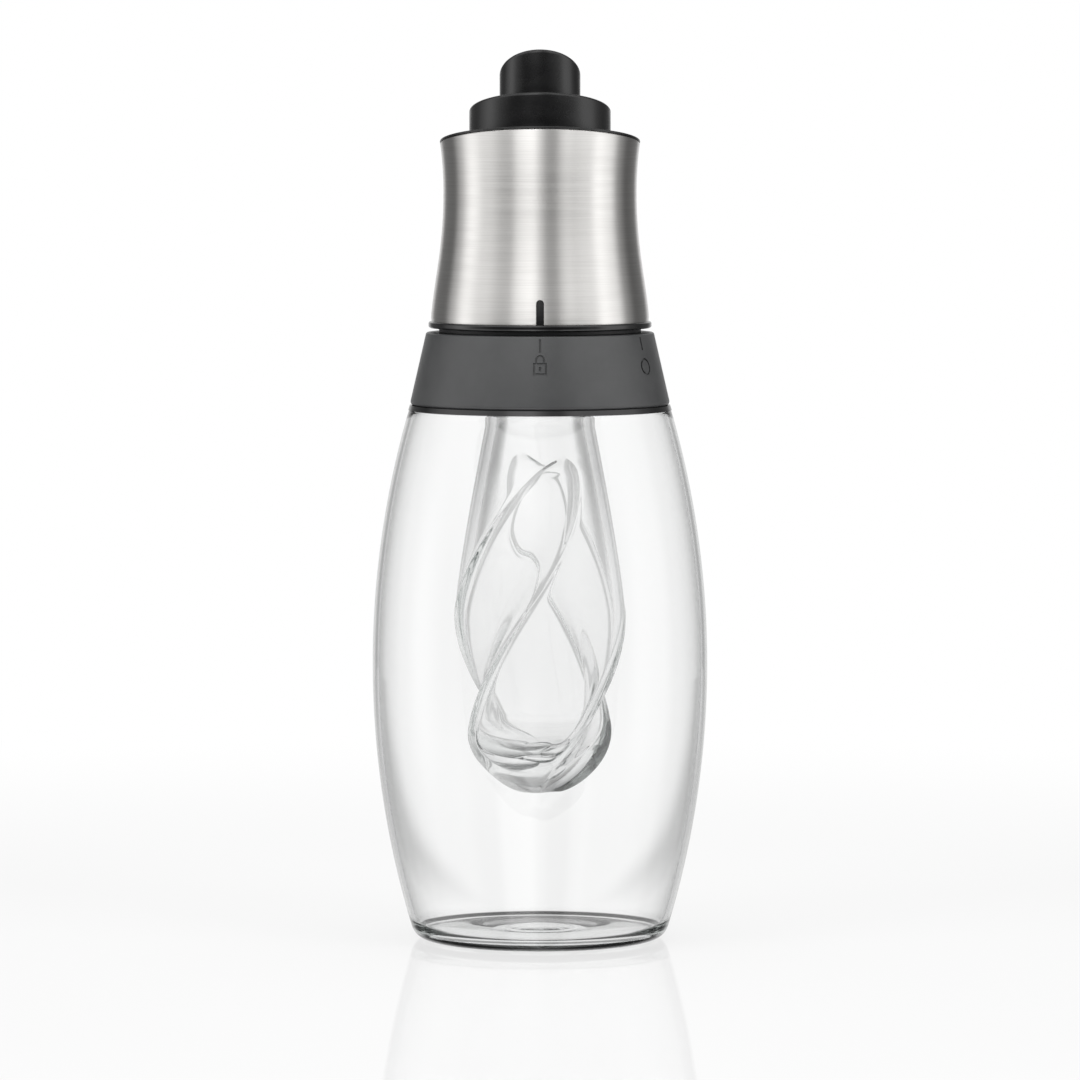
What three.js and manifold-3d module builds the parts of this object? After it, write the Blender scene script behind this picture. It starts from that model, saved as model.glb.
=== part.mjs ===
// Oil and vinegar dispenser: a barrel-shaped glass bottle for oil, a twisted glass vessel for
// vinegar that hangs inside it, and a push-fit head whose steel sleeve turns to choose between
// locked, oil and vinegar. Millimetres, +Z up, origin under the middle of the base.
// The front, with the pointer and the lock mark, faces -Y. Angles run from the front towards +X.

import * as THREE from 'three';
import { mergeVertices } from 'three/addons/utils/BufferGeometryUtils.js';
import Module from 'manifold-3d';

const wasm = await Module();
wasm.setup();

// Facets round a turned piece, and steps along each curve of an outline
const LARGE_FACETS = 40;
const SMALL_FACETS = 24;
const TINY_FACETS = 12;
const HEX_SIDES = 6;
const OUTLINE_STEPS = 4;
const VESSEL_STEPS = 9;
const SCOOP_FACETS = 7;
const LOBE_FACETS = 11;
const LEAST_SCOOP_SPREAD = 12;

// Clearances
const SEAT_GAP = 0.3;
const SLANT_GAP = 0.1;
const RUNNING_GAP = 0.4;
const CUT_MARGIN = 2.0;

// Bottle
const NECK_BORE_R = 21.6;
const NECK_WALL = 2.0;
const NECK_H = 11.6;
const BARREL_H = 116.9;
const BARREL_BULGE = 8.1;
const BELLY_Z = 60.5;
const BOTTLE_WALL = 2.1;
const BASE_T = 2.4;
const BASE_CORNER = 5.5;
const FOOT_FILLET = 3.0;
const SHOULDER_FILLET = 2.2;
const SHOULDER_T = 1.5;
const SHOULDER_TURN = 1.6;
const SHOULDER_REVEAL = 0.2;
const PUNT_R = 11.0;
const PUNT_FLAT_R = 5.0;
const PUNT_DEPTH = 1.0;

// Collar
const COLLAR_LIFT = 0.4;
const COLLAR_NECK_GAP = 0.5;
const COLLAR_WALL = 0.9;
const COLLAR_FLARE = 3.6;
const COLLAR_LIP = 1.8;
const COLLAR_BORE_H = 6.0;
const COLLAR_DECK_T = 2.3;
const COLLAR_EDGE = 0.4;
const COLLAR_ROLL = 1.3;

// Marks sunk into the collar
const MARK_DEPTH = 0.35;
const MARK_LINE = 0.45;
const MARK_STEP = 60;
const TICK_L = 2.9;
const TICK_TOP = 0.6;
const MARK_DROP = 7.0;
const LOCK_W = 3.0;
const LOCK_H = 2.7;
const SHACKLE_R = 1.05;
const SHACKLE_LEG = 0.7;
const KEYHOLE_W = 0.5;
const KEYHOLE_H = 0.9;
const RING_R = 1.9;
const CHEVRON_W = 3.4;
const CHEVRON_H = 3.4;

// Plug and its seals
const RIM_GASKET_T = 0.8;
const PLUG_GAP = 1.4;
const PLUG_WALL = 2.2;
const PLUG_DEPTH = 11.4;
const PLUG_FLANGE_T = 2.2;
const PLUG_DECK_T = 2.0;
const WELL_DEPTH = 8.0;
const GROOVE_DEPTH = 1.0;
const GROOVE_H = 1.8;
const GROOVE_LIFT = 1.4;
const GROOVE_PITCH = 4.6;
const OIL_WAY = 4.1;
const SOCKET_WALL = 1.0;
const SOCKET_L = 5.0;
const VESSEL_SEAL_T = 0.9;
const VESSEL_SEAL_L = 4.0;

// Valve
const PORT_GASKET_T = 1.0;
const PORT_PLATE_T = 1.6;
const ROTOR_T = 2.2;
const OIL_PORT_R = 1.2;
const VINEGAR_PORT_R = 1.6;
const VINEGAR_PORT_INSET = 1.1;
const SLOT_W = 3.0;
const DRIVE_PEG_R = 1.2;
const DRIVE_PEG_H = 1.5;
const DRIVE_PEG_INSET = 4.2;

// Pivot screw, its washer and spring
const PIVOT_R = 1.75;
const PIVOT_BOSS_R = 3.6;
const PIVOT_BOSS_L = 5.5;
const PIVOT_TIP_GAP = 0.8;
const PIVOT_HEAD_R = 3.5;
const PIVOT_HEAD_H = 2.4;
const PIVOT_HEX_R = 1.7;
const PIVOT_HEX_DEPTH = 1.4;
const PIVOT_WASHER_R = 4.2;
const PIVOT_WASHER_T = 0.8;
const SPRING_L = 6.4;
const SPRING_WIRE_R = 0.4;
const SPRING_MEAN_R = 3.0;
const SPRING_TURNS = 3.5;
const SPRING_STEPS_PER_TURN = 8;
const SPRING_SIDES = 5;

// Turning core
const THRUST_WASHER_T = 1.0;
const THRUST_WASHER_SETBACK = 2.8;
const CORE_FLOOR_T = 2.0;
const CORE_WALL = 2.4;
const CORE_FLANGE_T = 1.8;
const CHAMBER_H = 9.4;
const FUNNEL_H = 14.0;
const CORE_TUBE_R = 7.0;
const CORE_TUBE_WALL = 1.8;
const TOP_FLANGE_T = 2.5;
const TOP_FLANGE_DROP = 9.1;
const CORE_TUBE_RISE = 7.5;

// Steel sleeve and its trim
const SLEEVE_SETBACK = 1.0;
const SLEEVE_H = 38.9;
const SLEEVE_T = 0.8;
const SLEEVE_WAIST_Z = 28.5;
const SLEEVE_WAIST_DRAW = 2.8;
const SLEEVE_TOP_FLARE = 0.7;
const SLEEVE_SLOPE = 0.155;
const SLEEVE_FOOT_LEAN = 0.4;
const SLEEVE_FOOT_RISE = 7.8;
const SLEEVE_WAIST_RUN = 13.2;
const TRIM_T = 1.4;
const TRIM_LIP = 0.5;
const POINTER_W = 1.4;
const POINTER_H = 5.3;
const POINTER_GAP = 0.15;

// Cap and spout
const CAP_REVEAL = 0.6;
const CAP_PLATE_T = 2.0;
const CAP_SKIRT_WALL = 1.6;
const CAP_SKIRT_GAP = 1.5;
const CAP_BOSS_R = 2.6;
const CAP_SCREW_INSET = 6.1;
const CAP_SCREW_COUNT = 3;
const CAP_SCREW_R = 1.0;
const CAP_SCREW_L = 6.5;
const CAP_SCREW_HEAD_R = 2.0;
const CAP_SCREW_HEAD_H = 1.5;
const CAP_SCREW_HEX_R = 0.9;
const CAP_SCREW_HEX_DEPTH = 0.8;
const SPOUT_BASE_R = 15.5;
const SPOUT_BASE_H = 6.9;
const SPOUT_BASE_SLOPE = 0.258;
const SPOUT_SEAL_T = 1.0;
const SPOUT_STEM_WALL = 2.1;
const SPOUT_STEM_L = 4.5;
const SPOUT_TIP_R = 8.85;
const SPOUT_TIP_H = 8.2;
const SPOUT_TIP_SLOPE = 0.6;
const TIP_STEM_WALL = 2.0;
const TIP_STEM_L = 4.4;
const OUTLET_R = 3.4;
const OUTLET_NARROWING_H = 3.0;

// Breather tube
const BREATHER_R = 1.4;
const BREATHER_BORE_R = 0.8;
const BREATHER_SIDES = 6;
const BREATHER_STEPS = 12;
const BREATHER_TOP_Y = 2.6;
const BREATHER_SHOE_H = 2.6;
const BREATHER_SHOE_WALL = 1.0;

// Vessel
const VESSEL_NECK_WALL = 2.5;
const VESSEL_NECK_L = 4.1;
const VESSEL_PASS_GAP = 2.7;
const VESSEL_L = 88.1;
const VESSEL_BELLY_Z = 39.0;
const VESSEL_SHOULDER_RUN = 8.0;
const VESSEL_HIP_DRAW = 2.3;
const VESSEL_HIP_Z = 14.0;
const VESSEL_HIP_RUN = 18.0;
const VESSEL_FOOT_R = 6.0;
const VESSEL_FOOT_RISE = 3.0;
const VESSEL_DIMPLE_H = 1.6;
const VESSEL_FLOOR_T = 10.0;
const VESSEL_BELLY_WALL = 5.7;
const VESSEL_HIP_WALL = 5.1;
const SCOOP_COUNT = 2;
const SCOOP_HALF_WIDTH = 38;
const SCOOP_TOP_DROP = 14.6;
const SCOOP_OPENING_L = 8.0;
const SCOOP_START = 22;
const SCOOP_TWIST = 1.9;
const SCOOP_TWIST_GAIN = 0.0045;

// Radii that follow
const neckR = NECK_BORE_R + NECK_WALL;
const collarBoreR = neckR + COLLAR_NECK_GAP;
const collarTopR = collarBoreR + COLLAR_WALL;
const collarBottomR = collarTopR + COLLAR_FLARE;
const shoulderR = collarBottomR + SHOULDER_REVEAL;
const bellyR = shoulderR + BARREL_BULGE;
const plugR = NECK_BORE_R - PLUG_GAP;
const wellR = plugR - PLUG_WALL;
const grooveR = plugR - GROOVE_DEPTH;
const socketR = wellR - OIL_WAY;
const socketBoreR = socketR - SOCKET_WALL;
const vesselSealR = socketBoreR - SEAT_GAP;
const vesselSealBoreR = vesselSealR - VESSEL_SEAL_T;
const vesselNeckR = vesselSealBoreR - SEAT_GAP;
const vesselNeckBoreR = vesselNeckR - VESSEL_NECK_WALL;
const oilPortPitchR = (socketR + wellR) / 2;
const vinegarPortPitchR = vesselNeckBoreR - VINEGAR_PORT_INSET - VINEGAR_PORT_R;
const pivotHoleR = PIVOT_R + SEAT_GAP;
const hubR = wellR - RUNNING_GAP;
const chamberR = hubR - CORE_WALL;
const drivePegPitchR = chamberR - DRIVE_PEG_INSET;
const coreTubeBoreR = CORE_TUBE_R - CORE_TUBE_WALL;
const sleeveBottomR = collarTopR - SLEEVE_SETBACK;
const sleeveWaistR = sleeveBottomR - SLEEVE_WAIST_DRAW;
const trimR = sleeveBottomR + TRIM_LIP;
const coreFlangeR = sleeveBottomR - SLEEVE_T - SEAT_GAP;
const capSkirtR = sleeveWaistR - SLEEVE_T - SEAT_GAP;
const capScrewPitchR = capSkirtR - CAP_SCREW_INSET;
const stemBoreR = CORE_TUBE_R + SEAT_GAP;
const stemR = stemBoreR + SPOUT_STEM_WALL;
const tipStemR = coreTubeBoreR + TIP_STEM_WALL - SEAT_GAP;
const vesselBellyR = NECK_BORE_R - VESSEL_PASS_GAP;
const vesselHipR = vesselBellyR - VESSEL_HIP_DRAW;

// Heights that follow, from the base up
const rimZ = BARREL_H + NECK_H;
const flangeBottomZ = rimZ + RIM_GASKET_T;
const flangeTopZ = flangeBottomZ + PLUG_FLANGE_T;
const collarBottomZ = BARREL_H + COLLAR_LIFT;
const collarTopZ = flangeTopZ + COLLAR_DECK_T;
const trimBottomZ = collarTopZ + THRUST_WASHER_T;
const sleeveBottomZ = trimBottomZ + TRIM_T;
const sleeveTopZ = sleeveBottomZ + SLEEVE_H;
const capTopZ = sleeveTopZ + CAP_REVEAL;
const spoutBaseTopZ = capTopZ + SPOUT_BASE_H;
const spoutTipTopZ = spoutBaseTopZ + SPOUT_TIP_H;
const plugBottomZ = rimZ - PLUG_DEPTH;
const wellFloorZ = flangeTopZ - WELL_DEPTH;
const deckBottomZ = wellFloorZ - PLUG_DECK_T;
const portPlateZ = wellFloorZ + PORT_GASKET_T;
const rotorZ = portPlateZ + PORT_PLATE_T;
const coreFloorZ = rotorZ + ROTOR_T;
const chamberZ = coreFloorZ + CORE_FLOOR_T;
const funnelZ = chamberZ + CHAMBER_H;
const coreTubeZ = funnelZ + FUNNEL_H;
const topFlangeTopZ = sleeveTopZ - TOP_FLANGE_DROP;
const topFlangeZ = topFlangeTopZ - TOP_FLANGE_T;
const coreTopZ = topFlangeTopZ + CORE_TUBE_RISE;
const stemShoulderZ = coreTopZ + SPOUT_SEAL_T;
const pivotWasherZ = chamberZ + SPRING_L;
const pivotHeadZ = pivotWasherZ + PIVOT_WASHER_T;
const vesselRimZ = deckBottomZ - VESSEL_SEAL_T;
const vesselBottomZ = vesselRimZ - VESSEL_L;
const vesselNeckZ = vesselRimZ - VESSEL_NECK_L;

// Finishes
const finish = (color, roughness, metalness, extra = {}) =>
  new THREE.MeshStandardMaterial({ color, roughness, metalness, ...extra });
const CLEAR = { transparent: true, opacity: 0.3 };
const clearGlass = () => finish(0xf4f8f7, 0.03, 0, CLEAR);
const mattBlack = () => finish(0x2b2c2d, 0.5, 0);
const glossBlack = () => finish(0x121213, 0.25, 0);
const innerBlack = () => finish(0x1b1c1d, 0.6, 0);
const paleAcetal = () => finish(0xe9e7df, 0.45, 0);
const clearSilicone = () => finish(0xdfe3e2, 0.55, 0);
const brushedSteel = () => finish(0xc9c8c5, 0.32, 1);
const plainSteel = () => finish(0xb9bcc0, 0.3, 1);

// Solids from three.js geometry, and back
const MERGE_TOLERANCE = 1e-4;

function toSolid(geometry) {
  const bare = geometry.clone();
  bare.deleteAttribute('normal');
  bare.deleteAttribute('uv');
  const merged = mergeVertices(bare, MERGE_TOLERANCE);
  const index = merged.index.array;
  const triVerts = [];
  for (let i = 0; i < index.length; i += 3) {
    const [a, b, c] = index.slice(i, i + 3);
    if (a !== b && b !== c && c !== a) {
      triVerts.push(a, b, c);
    }
  }
  const vertProperties = merged.attributes.position.array;
  const mesh = new wasm.Mesh({ numProp: 3, vertProperties, triVerts: new Uint32Array(triVerts) });
  return new wasm.Manifold(mesh);
}

function toGeometry(solid) {
  const mesh = solid.getMesh();
  const geometry = new THREE.BufferGeometry();
  geometry.setAttribute('position', new THREE.BufferAttribute(mesh.vertProperties, 3));
  geometry.setIndex(new THREE.BufferAttribute(mesh.triVerts, 1));
  geometry.computeVertexNormals();
  return geometry;
}

const radians = (degrees) => THREE.MathUtils.degToRad(degrees);

function polar(radius, degrees) {
  return [radius * Math.sin(radians(degrees)), -radius * Math.cos(radians(degrees))];
}

// An outline of (radius, height) points turned about Z
function turned(points, facets = LARGE_FACETS) {
  const geometry = new THREE.LatheGeometry(points, facets);
  return toSolid(geometry.rotateX(Math.PI / 2));
}

function turnedPath(path, facets = LARGE_FACETS) {
  return turned(path.getPoints(OUTLINE_STEPS), facets);
}

function rod(radius, lowZ, highZ, facets = SMALL_FACETS) {
  const corners = [[0, lowZ], [radius, lowZ], [radius, highZ], [0, highZ]];
  return turned(corners.map(([r, z]) => new THREE.Vector2(r, z)), facets);
}

function ring(boreR, outerR, lowZ, highZ, facets = SMALL_FACETS) {
  const corners = [[boreR, lowZ], [outerR, lowZ], [outerR, highZ], [boreR, highZ], [boreR, lowZ]];
  return turned(corners.map(([r, z]) => new THREE.Vector2(r, z)), facets);
}

function block(lowX, highX, lowY, highY, lowZ, highZ) {
  const geometry = new THREE.BoxGeometry(highX - lowX, highY - lowY, highZ - lowZ);
  return toSolid(geometry.translate((lowX + highX) / 2, (lowY + highY) / 2, (lowZ + highZ) / 2));
}

// An upright pin standing at an angle and a pitch radius
function pinAt(pitchR, degrees, radius, lowZ, highZ, facets = TINY_FACETS) {
  const [x, y] = polar(pitchR, degrees);
  return rod(radius, lowZ, highZ, facets).translate([x, y, 0]);
}

// Everything above the plane z = axisZ - slope * y, which is higher at the front
function above(axisZ, slope) {
  const reach = spoutTipTopZ;
  const geometry = new THREE.BoxGeometry(reach, reach, reach);
  geometry.translate(0, 0, reach / 2);
  geometry.rotateX(-Math.atan(slope));
  return toSolid(geometry.translate(0, 0, axisZ));
}

// A round or many-sided tube or rod drawn along a curve
function drawn(curve, radius, sides, steps) {
  const corner = (i) => (2 * Math.PI * i) / sides;
  const points = Array.from({ length: sides }, (_, i) => corner(i)).map(
    (angle) => new THREE.Vector2(radius * Math.cos(angle), radius * Math.sin(angle)),
  );
  const options = { steps, extrudePath: curve, bevelEnabled: false };
  return toSolid(new THREE.ExtrudeGeometry(new THREE.Shape(points), options));
}

const dispenser = new THREE.Group();

function part(name, solid, material) {
  const mesh = new THREE.Mesh(toGeometry(solid), material);
  mesh.name = name;
  dispenser.add(mesh);
}

// Outer bottle: one barrel arc outside and a concentric one inside
const barrelRise = BARREL_H - BELLY_Z;
const barrelArcR = (barrelRise ** 2 + BARREL_BULGE ** 2) / (2 * BARREL_BULGE);
const barrelCentreR = bellyR - barrelArcR;
const barrelAngle = (z, arcR) => Math.asin((z - BELLY_Z) / arcR);
const barrelAt = (z, arcR) => barrelCentreR + arcR * Math.cos(barrelAngle(z, arcR));

function outerBottle() {
  const innerArcR = barrelArcR - BOTTLE_WALL;
  const outside = (z) => barrelAt(z, barrelArcR);
  const inside = (z) => barrelAt(z, innerArcR);
  const turnInZ = BARREL_H - SHOULDER_FILLET;
  const innerTopZ = BARREL_H - SHOULDER_T;
  const innerTurnZ = innerTopZ - SHOULDER_TURN;
  const innerFootZ = BASE_T + BASE_CORNER;
  const path = new THREE.Path();
  path.moveTo(0, PUNT_DEPTH);
  path.lineTo(PUNT_FLAT_R, PUNT_DEPTH);
  path.lineTo(PUNT_R, 0);
  path.lineTo(outside(0) - FOOT_FILLET, 0);
  path.quadraticCurveTo(outside(0), 0, outside(FOOT_FILLET), FOOT_FILLET);
  path.absarc(barrelCentreR, BELLY_Z, barrelArcR,
    barrelAngle(FOOT_FILLET, barrelArcR), barrelAngle(turnInZ, barrelArcR), false);
  path.quadraticCurveTo(shoulderR, BARREL_H, shoulderR - SHOULDER_FILLET, BARREL_H);
  path.lineTo(neckR, BARREL_H);
  path.lineTo(neckR, rimZ);
  path.lineTo(NECK_BORE_R, rimZ);
  path.lineTo(NECK_BORE_R, innerTopZ);
  path.quadraticCurveTo(inside(innerTopZ), innerTopZ, inside(innerTurnZ), innerTurnZ);
  path.absarc(barrelCentreR, BELLY_Z, innerArcR,
    barrelAngle(innerTurnZ, innerArcR), barrelAngle(innerFootZ, innerArcR), true);
  path.quadraticCurveTo(inside(BASE_T), BASE_T, inside(BASE_T) - BASE_CORNER, BASE_T);
  path.lineTo(0, BASE_T);
  return turnedPath(path);
}

part('outer_bottle', outerBottle(), clearGlass());

// Inner vessel: a round envelope with two flat scoops that twist round it, and a round cavity
function vesselOutline() {
  const bellyZ = vesselBottomZ + VESSEL_BELLY_Z;
  const hipZ = vesselBottomZ + VESSEL_HIP_Z;
  const path = new THREE.Path();
  path.moveTo(VESSEL_FOOT_R, vesselBottomZ);
  path.quadraticCurveTo(vesselHipR, vesselBottomZ + VESSEL_FOOT_RISE, vesselHipR, hipZ);
  path.quadraticCurveTo(vesselBellyR, hipZ + VESSEL_HIP_RUN, vesselBellyR, bellyZ);
  path.quadraticCurveTo(vesselBellyR, bellyZ + VESSEL_SHOULDER_RUN, vesselNeckR, vesselNeckZ);
  path.lineTo(vesselNeckR, vesselRimZ);
  return path.getPoints(VESSEL_STEPS);
}

// A scoop's middle and half its width, in degrees, at a depth below its tip
const scoopMiddle = (depth) => SCOOP_START - SCOOP_TWIST * depth - SCOOP_TWIST_GAIN * depth ** 2;
const scoopHalfWidth = (depth) => SCOOP_HALF_WIDTH * (1 - Math.exp(-depth / SCOOP_OPENING_L));

// One ring of points: a straight chord across each scoop, and the round lobes between them
function vesselRing(radius, z) {
  const depth = Math.max(0, vesselRimZ - SCOOP_TOP_DROP - z);
  const halfWidth = scoopHalfWidth(depth);
  const spread = Math.max(halfWidth, LEAST_SCOOP_SPREAD);
  const pitch = 360 / SCOOP_COUNT;
  const points = [];
  for (let scoop = 0; scoop < SCOOP_COUNT; scoop += 1) {
    const middle = scoopMiddle(depth) + pitch * scoop;
    for (let i = 0; i < SCOOP_FACETS; i += 1) {
      const offset = spread * ((2 * i) / SCOOP_FACETS - 1);
      const reach = Math.min(1, Math.cos(radians(halfWidth)) / Math.cos(radians(offset)));
      points.push([...polar(radius * reach, middle + offset), z]);
    }
    for (let i = 0; i < LOBE_FACETS; i += 1) {
      const offset = spread + ((pitch - 2 * spread) * i) / LOBE_FACETS;
      points.push([...polar(radius, middle + offset), z]);
    }
  }
  return points;
}

// Rings whose columns follow the twist, closed by the foot's dimple and across the rim
function vesselBody() {
  const rings = vesselOutline().map(({ x: radius, y: z }) => vesselRing(radius, z));
  const columns = rings[0].length;
  const foot = [0, 0, vesselBottomZ + VESSEL_DIMPLE_H];
  const positions = [...foot, ...rings.flat(2), 0, 0, vesselRimZ];
  const ringStart = (row) => 1 + row * columns;
  const last = rings.length - 1;
  const top = ringStart(rings.length);
  const index = [];
  for (let column = 0; column < columns; column += 1) {
    const next = (column + 1) % columns;
    index.push(0, ringStart(0) + next, ringStart(0) + column);
    index.push(top, ringStart(last) + column, ringStart(last) + next);
    for (let row = 0; row < last; row += 1) {
      const [a, b] = [ringStart(row) + column, ringStart(row) + next];
      const [c, d] = [ringStart(row + 1) + column, ringStart(row + 1) + next];
      index.push(a, b, c, b, d, c);
    }
  }
  const geometry = new THREE.BufferGeometry();
  geometry.setAttribute('position', new THREE.Float32BufferAttribute(positions, 3));
  geometry.setIndex(index);
  return toSolid(geometry);
}

function vesselCavity() {
  const floorZ = vesselBottomZ + VESSEL_FLOOR_T;
  const bellyZ = vesselBottomZ + VESSEL_BELLY_Z;
  const hipZ = vesselBottomZ + VESSEL_HIP_Z + VESSEL_HIP_WALL;
  const hipR = vesselHipR - VESSEL_HIP_WALL;
  const cavityR = vesselBellyR - VESSEL_BELLY_WALL;
  const path = new THREE.Path();
  path.moveTo(0, floorZ);
  path.quadraticCurveTo(hipR, floorZ, hipR, hipZ);
  path.quadraticCurveTo(cavityR, hipZ + VESSEL_HIP_WALL, cavityR, bellyZ);
  path.quadraticCurveTo(cavityR, bellyZ + VESSEL_SHOULDER_RUN, vesselNeckBoreR, vesselNeckZ);
  path.lineTo(vesselNeckBoreR, vesselRimZ + CUT_MARGIN);
  path.lineTo(0, vesselRimZ + CUT_MARGIN);
  return turnedPath(path, SMALL_FACETS);
}

part('inner_vessel', vesselBody().subtract(vesselCavity()), clearGlass());

// Marks: shapes drawn upright, then laid on the collar's cone and sunk into it
function strip(width, lowV, highV) {
  const shape = new THREE.Shape();
  shape.moveTo(-width / 2, lowV);
  shape.lineTo(width / 2, lowV);
  shape.lineTo(width / 2, highV);
  shape.lineTo(-width / 2, highV);
  return shape;
}

function circleShape(radius) {
  return new THREE.Shape().absarc(0, 0, radius, 0, 2 * Math.PI, false);
}

function ringShape() {
  const shape = circleShape(RING_R);
  shape.holes.push(circleShape(RING_R - MARK_LINE));
  return shape;
}

function lockShapes() {
  const bodyTop = LOCK_H / 2;
  const body = strip(LOCK_W, -bodyTop, bodyTop);
  body.holes.push(strip(LOCK_W - 2 * MARK_LINE, MARK_LINE - bodyTop, bodyTop - MARK_LINE));
  const innerR = SHACKLE_R - MARK_LINE;
  const legBottom = bodyTop - MARK_LINE / 2;
  const legTop = bodyTop + SHACKLE_LEG;
  const shackle = new THREE.Shape();
  shackle.moveTo(SHACKLE_R, legBottom);
  shackle.absarc(0, legTop, SHACKLE_R, 0, Math.PI, false);
  shackle.lineTo(-SHACKLE_R, legBottom);
  shackle.lineTo(-innerR, legBottom);
  shackle.absarc(0, legTop, innerR, Math.PI, 0, true);
  shackle.lineTo(innerR, legBottom);
  return [body, shackle, strip(KEYHOLE_W, -KEYHOLE_H / 2, KEYHOLE_H / 2)];
}

function chevronShape() {
  const [halfW, halfH] = [CHEVRON_W / 2, CHEVRON_H / 2];
  const shape = new THREE.Shape();
  shape.moveTo(-halfW, halfH);
  shape.lineTo(0, -halfH);
  shape.lineTo(halfW, halfH);
  shape.lineTo(halfW - MARK_LINE, halfH);
  shape.lineTo(0, MARK_LINE * (CHEVRON_H / halfW) - halfH);
  shape.lineTo(MARK_LINE - halfW, halfH);
  return shape;
}

const collarConeH = collarTopZ - collarBottomZ - COLLAR_ROLL;
const collarLean = Math.atan(COLLAR_FLARE / collarConeH);

function sunkMark(shape, drop, degrees) {
  const options = { depth: MARK_DEPTH + CUT_MARGIN, bevelEnabled: false, curveSegments: TINY_FACETS / 2 };
  const geometry = new THREE.ExtrudeGeometry(shape, options);
  geometry.translate(0, 0, -MARK_DEPTH);
  geometry.rotateX(Math.PI / 2 - collarLean);
  const slant = collarTopR + drop * Math.tan(collarLean);
  geometry.translate(0, -slant, collarTopZ - drop);
  geometry.rotateZ(radians(degrees));
  return toSolid(geometry);
}

function collarShell() {
  const lipR = collarBottomR - COLLAR_EDGE - COLLAR_LIP;
  const boreZ = flangeTopZ - COLLAR_BORE_H;
  const path = new THREE.Path();
  path.moveTo(lipR, collarBottomZ);
  path.lineTo(collarBottomR - COLLAR_EDGE, collarBottomZ);
  path.quadraticCurveTo(collarBottomR, collarBottomZ, collarBottomR, collarBottomZ + COLLAR_ROLL);
  path.lineTo(collarTopR + COLLAR_EDGE * Math.tan(collarLean), collarTopZ - COLLAR_EDGE);
  path.lineTo(collarTopR - COLLAR_EDGE, collarTopZ);
  path.lineTo(wellR, collarTopZ);
  path.lineTo(wellR, flangeTopZ);
  path.lineTo(collarBoreR, flangeTopZ);
  path.lineTo(collarBoreR, boreZ);
  path.lineTo(lipR, collarBottomZ);
  const tick = strip(MARK_LINE, -TICK_L, 0);
  const marks = [lockShapes(), [ringShape()], [chevronShape()]];
  let shell = turnedPath(path);
  marks.forEach((shapes, position) => {
    const degrees = position * MARK_STEP;
    shell = shell.subtract(sunkMark(tick, TICK_TOP, degrees));
    for (const shape of shapes) {
      shell = shell.subtract(sunkMark(shape, MARK_DROP, degrees));
    }
  });
  return shell;
}

part('collar_shell', collarShell(), mattBlack());

// Ports: the pour port of each liquid and its air port on the other side
const ports = [
  { pitchR: oilPortPitchR, radius: OIL_PORT_R, degrees: MARK_STEP },
  { pitchR: oilPortPitchR, radius: OIL_PORT_R, degrees: MARK_STEP + 180 },
  { pitchR: vinegarPortPitchR, radius: VINEGAR_PORT_R, degrees: 2 * MARK_STEP },
  { pitchR: vinegarPortPitchR, radius: VINEGAR_PORT_R, degrees: 2 * MARK_STEP + 180 },
];

function drilled(solid, lowZ, highZ) {
  return ports.reduce((whole, { pitchR, radius, degrees }) => whole.subtract(
    pinAt(pitchR, degrees, radius, lowZ - CUT_MARGIN, highZ + CUT_MARGIN)), solid);
}

// Plug: a cup whose floor carries the vessel's socket and the boss for the pivot screw
const lowerGrooveZ = plugBottomZ + GROOVE_LIFT;
const upperGrooveZ = lowerGrooveZ + GROOVE_PITCH;
const plugFlangeR = collarBoreR - SEAT_GAP;
const bossBottomZ = deckBottomZ - PIVOT_BOSS_L;

function neckPlug() {
  const wallOverlap = PLUG_WALL / 2;
  const body = ring(wellR, plugR, plugBottomZ, flangeBottomZ)
    .add(ring(wellR, plugFlangeR, flangeBottomZ, flangeTopZ))
    .add(rod(wellR + wallOverlap, deckBottomZ, wellFloorZ))
    .add(ring(socketBoreR, socketR, deckBottomZ - SOCKET_L, deckBottomZ))
    .add(rod(PIVOT_BOSS_R, bossBottomZ, deckBottomZ));
  const grooves = [lowerGrooveZ, upperGrooveZ].map(
    (z) => ring(grooveR, plugR + CUT_MARGIN, z, z + GROOVE_H));
  const screwHole = rod(pivotHoleR, bossBottomZ + PIVOT_TIP_GAP, wellFloorZ + CUT_MARGIN);
  const grooved = grooves.reduce((whole, groove) => whole.subtract(groove), body);
  return drilled(grooved, deckBottomZ, wellFloorZ).subtract(screwHole);
}

part('neck_plug', neckPlug(), innerBlack());

part('rim_gasket', ring(NECK_BORE_R - SEAT_GAP, neckR, rimZ, flangeBottomZ), clearSilicone());

const neckSealR = NECK_BORE_R - SEAT_GAP;
for (const [name, z] of [['lower_neck_seal', lowerGrooveZ], ['upper_neck_seal', upperGrooveZ]]) {
  part(name, ring(grooveR + SEAT_GAP, neckSealR, z, z + GROOVE_H), clearSilicone());
}

// Vessel seal: a sleeve round the vessel's neck with a flange over its rim
function vesselSeal() {
  const sleeve = ring(vesselSealBoreR, vesselSealR, deckBottomZ - VESSEL_SEAL_L, deckBottomZ);
  const flange = ring(vesselNeckBoreR, vesselSealR, vesselRimZ, deckBottomZ);
  return sleeve.add(flange);
}

part('vessel_seal', vesselSeal(), clearSilicone());

// Valve: a gasket and a ported plate that stay, and a slotted disc that turns on them
const valveR = wellR - SEAT_GAP;

function portDisc(lowZ, highZ) {
  return drilled(ring(pivotHoleR, valveR, lowZ, highZ), lowZ, highZ);
}

part('port_gasket', portDisc(wellFloorZ, portPlateZ), clearSilicone());
part('port_plate', portDisc(portPlateZ, rotorZ), paleAcetal());

const slotInnerR = vinegarPortPitchR - VINEGAR_PORT_R;
const slotOuterR = oilPortPitchR + OIL_PORT_R;
const pegAngles = [90, 270];

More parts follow.
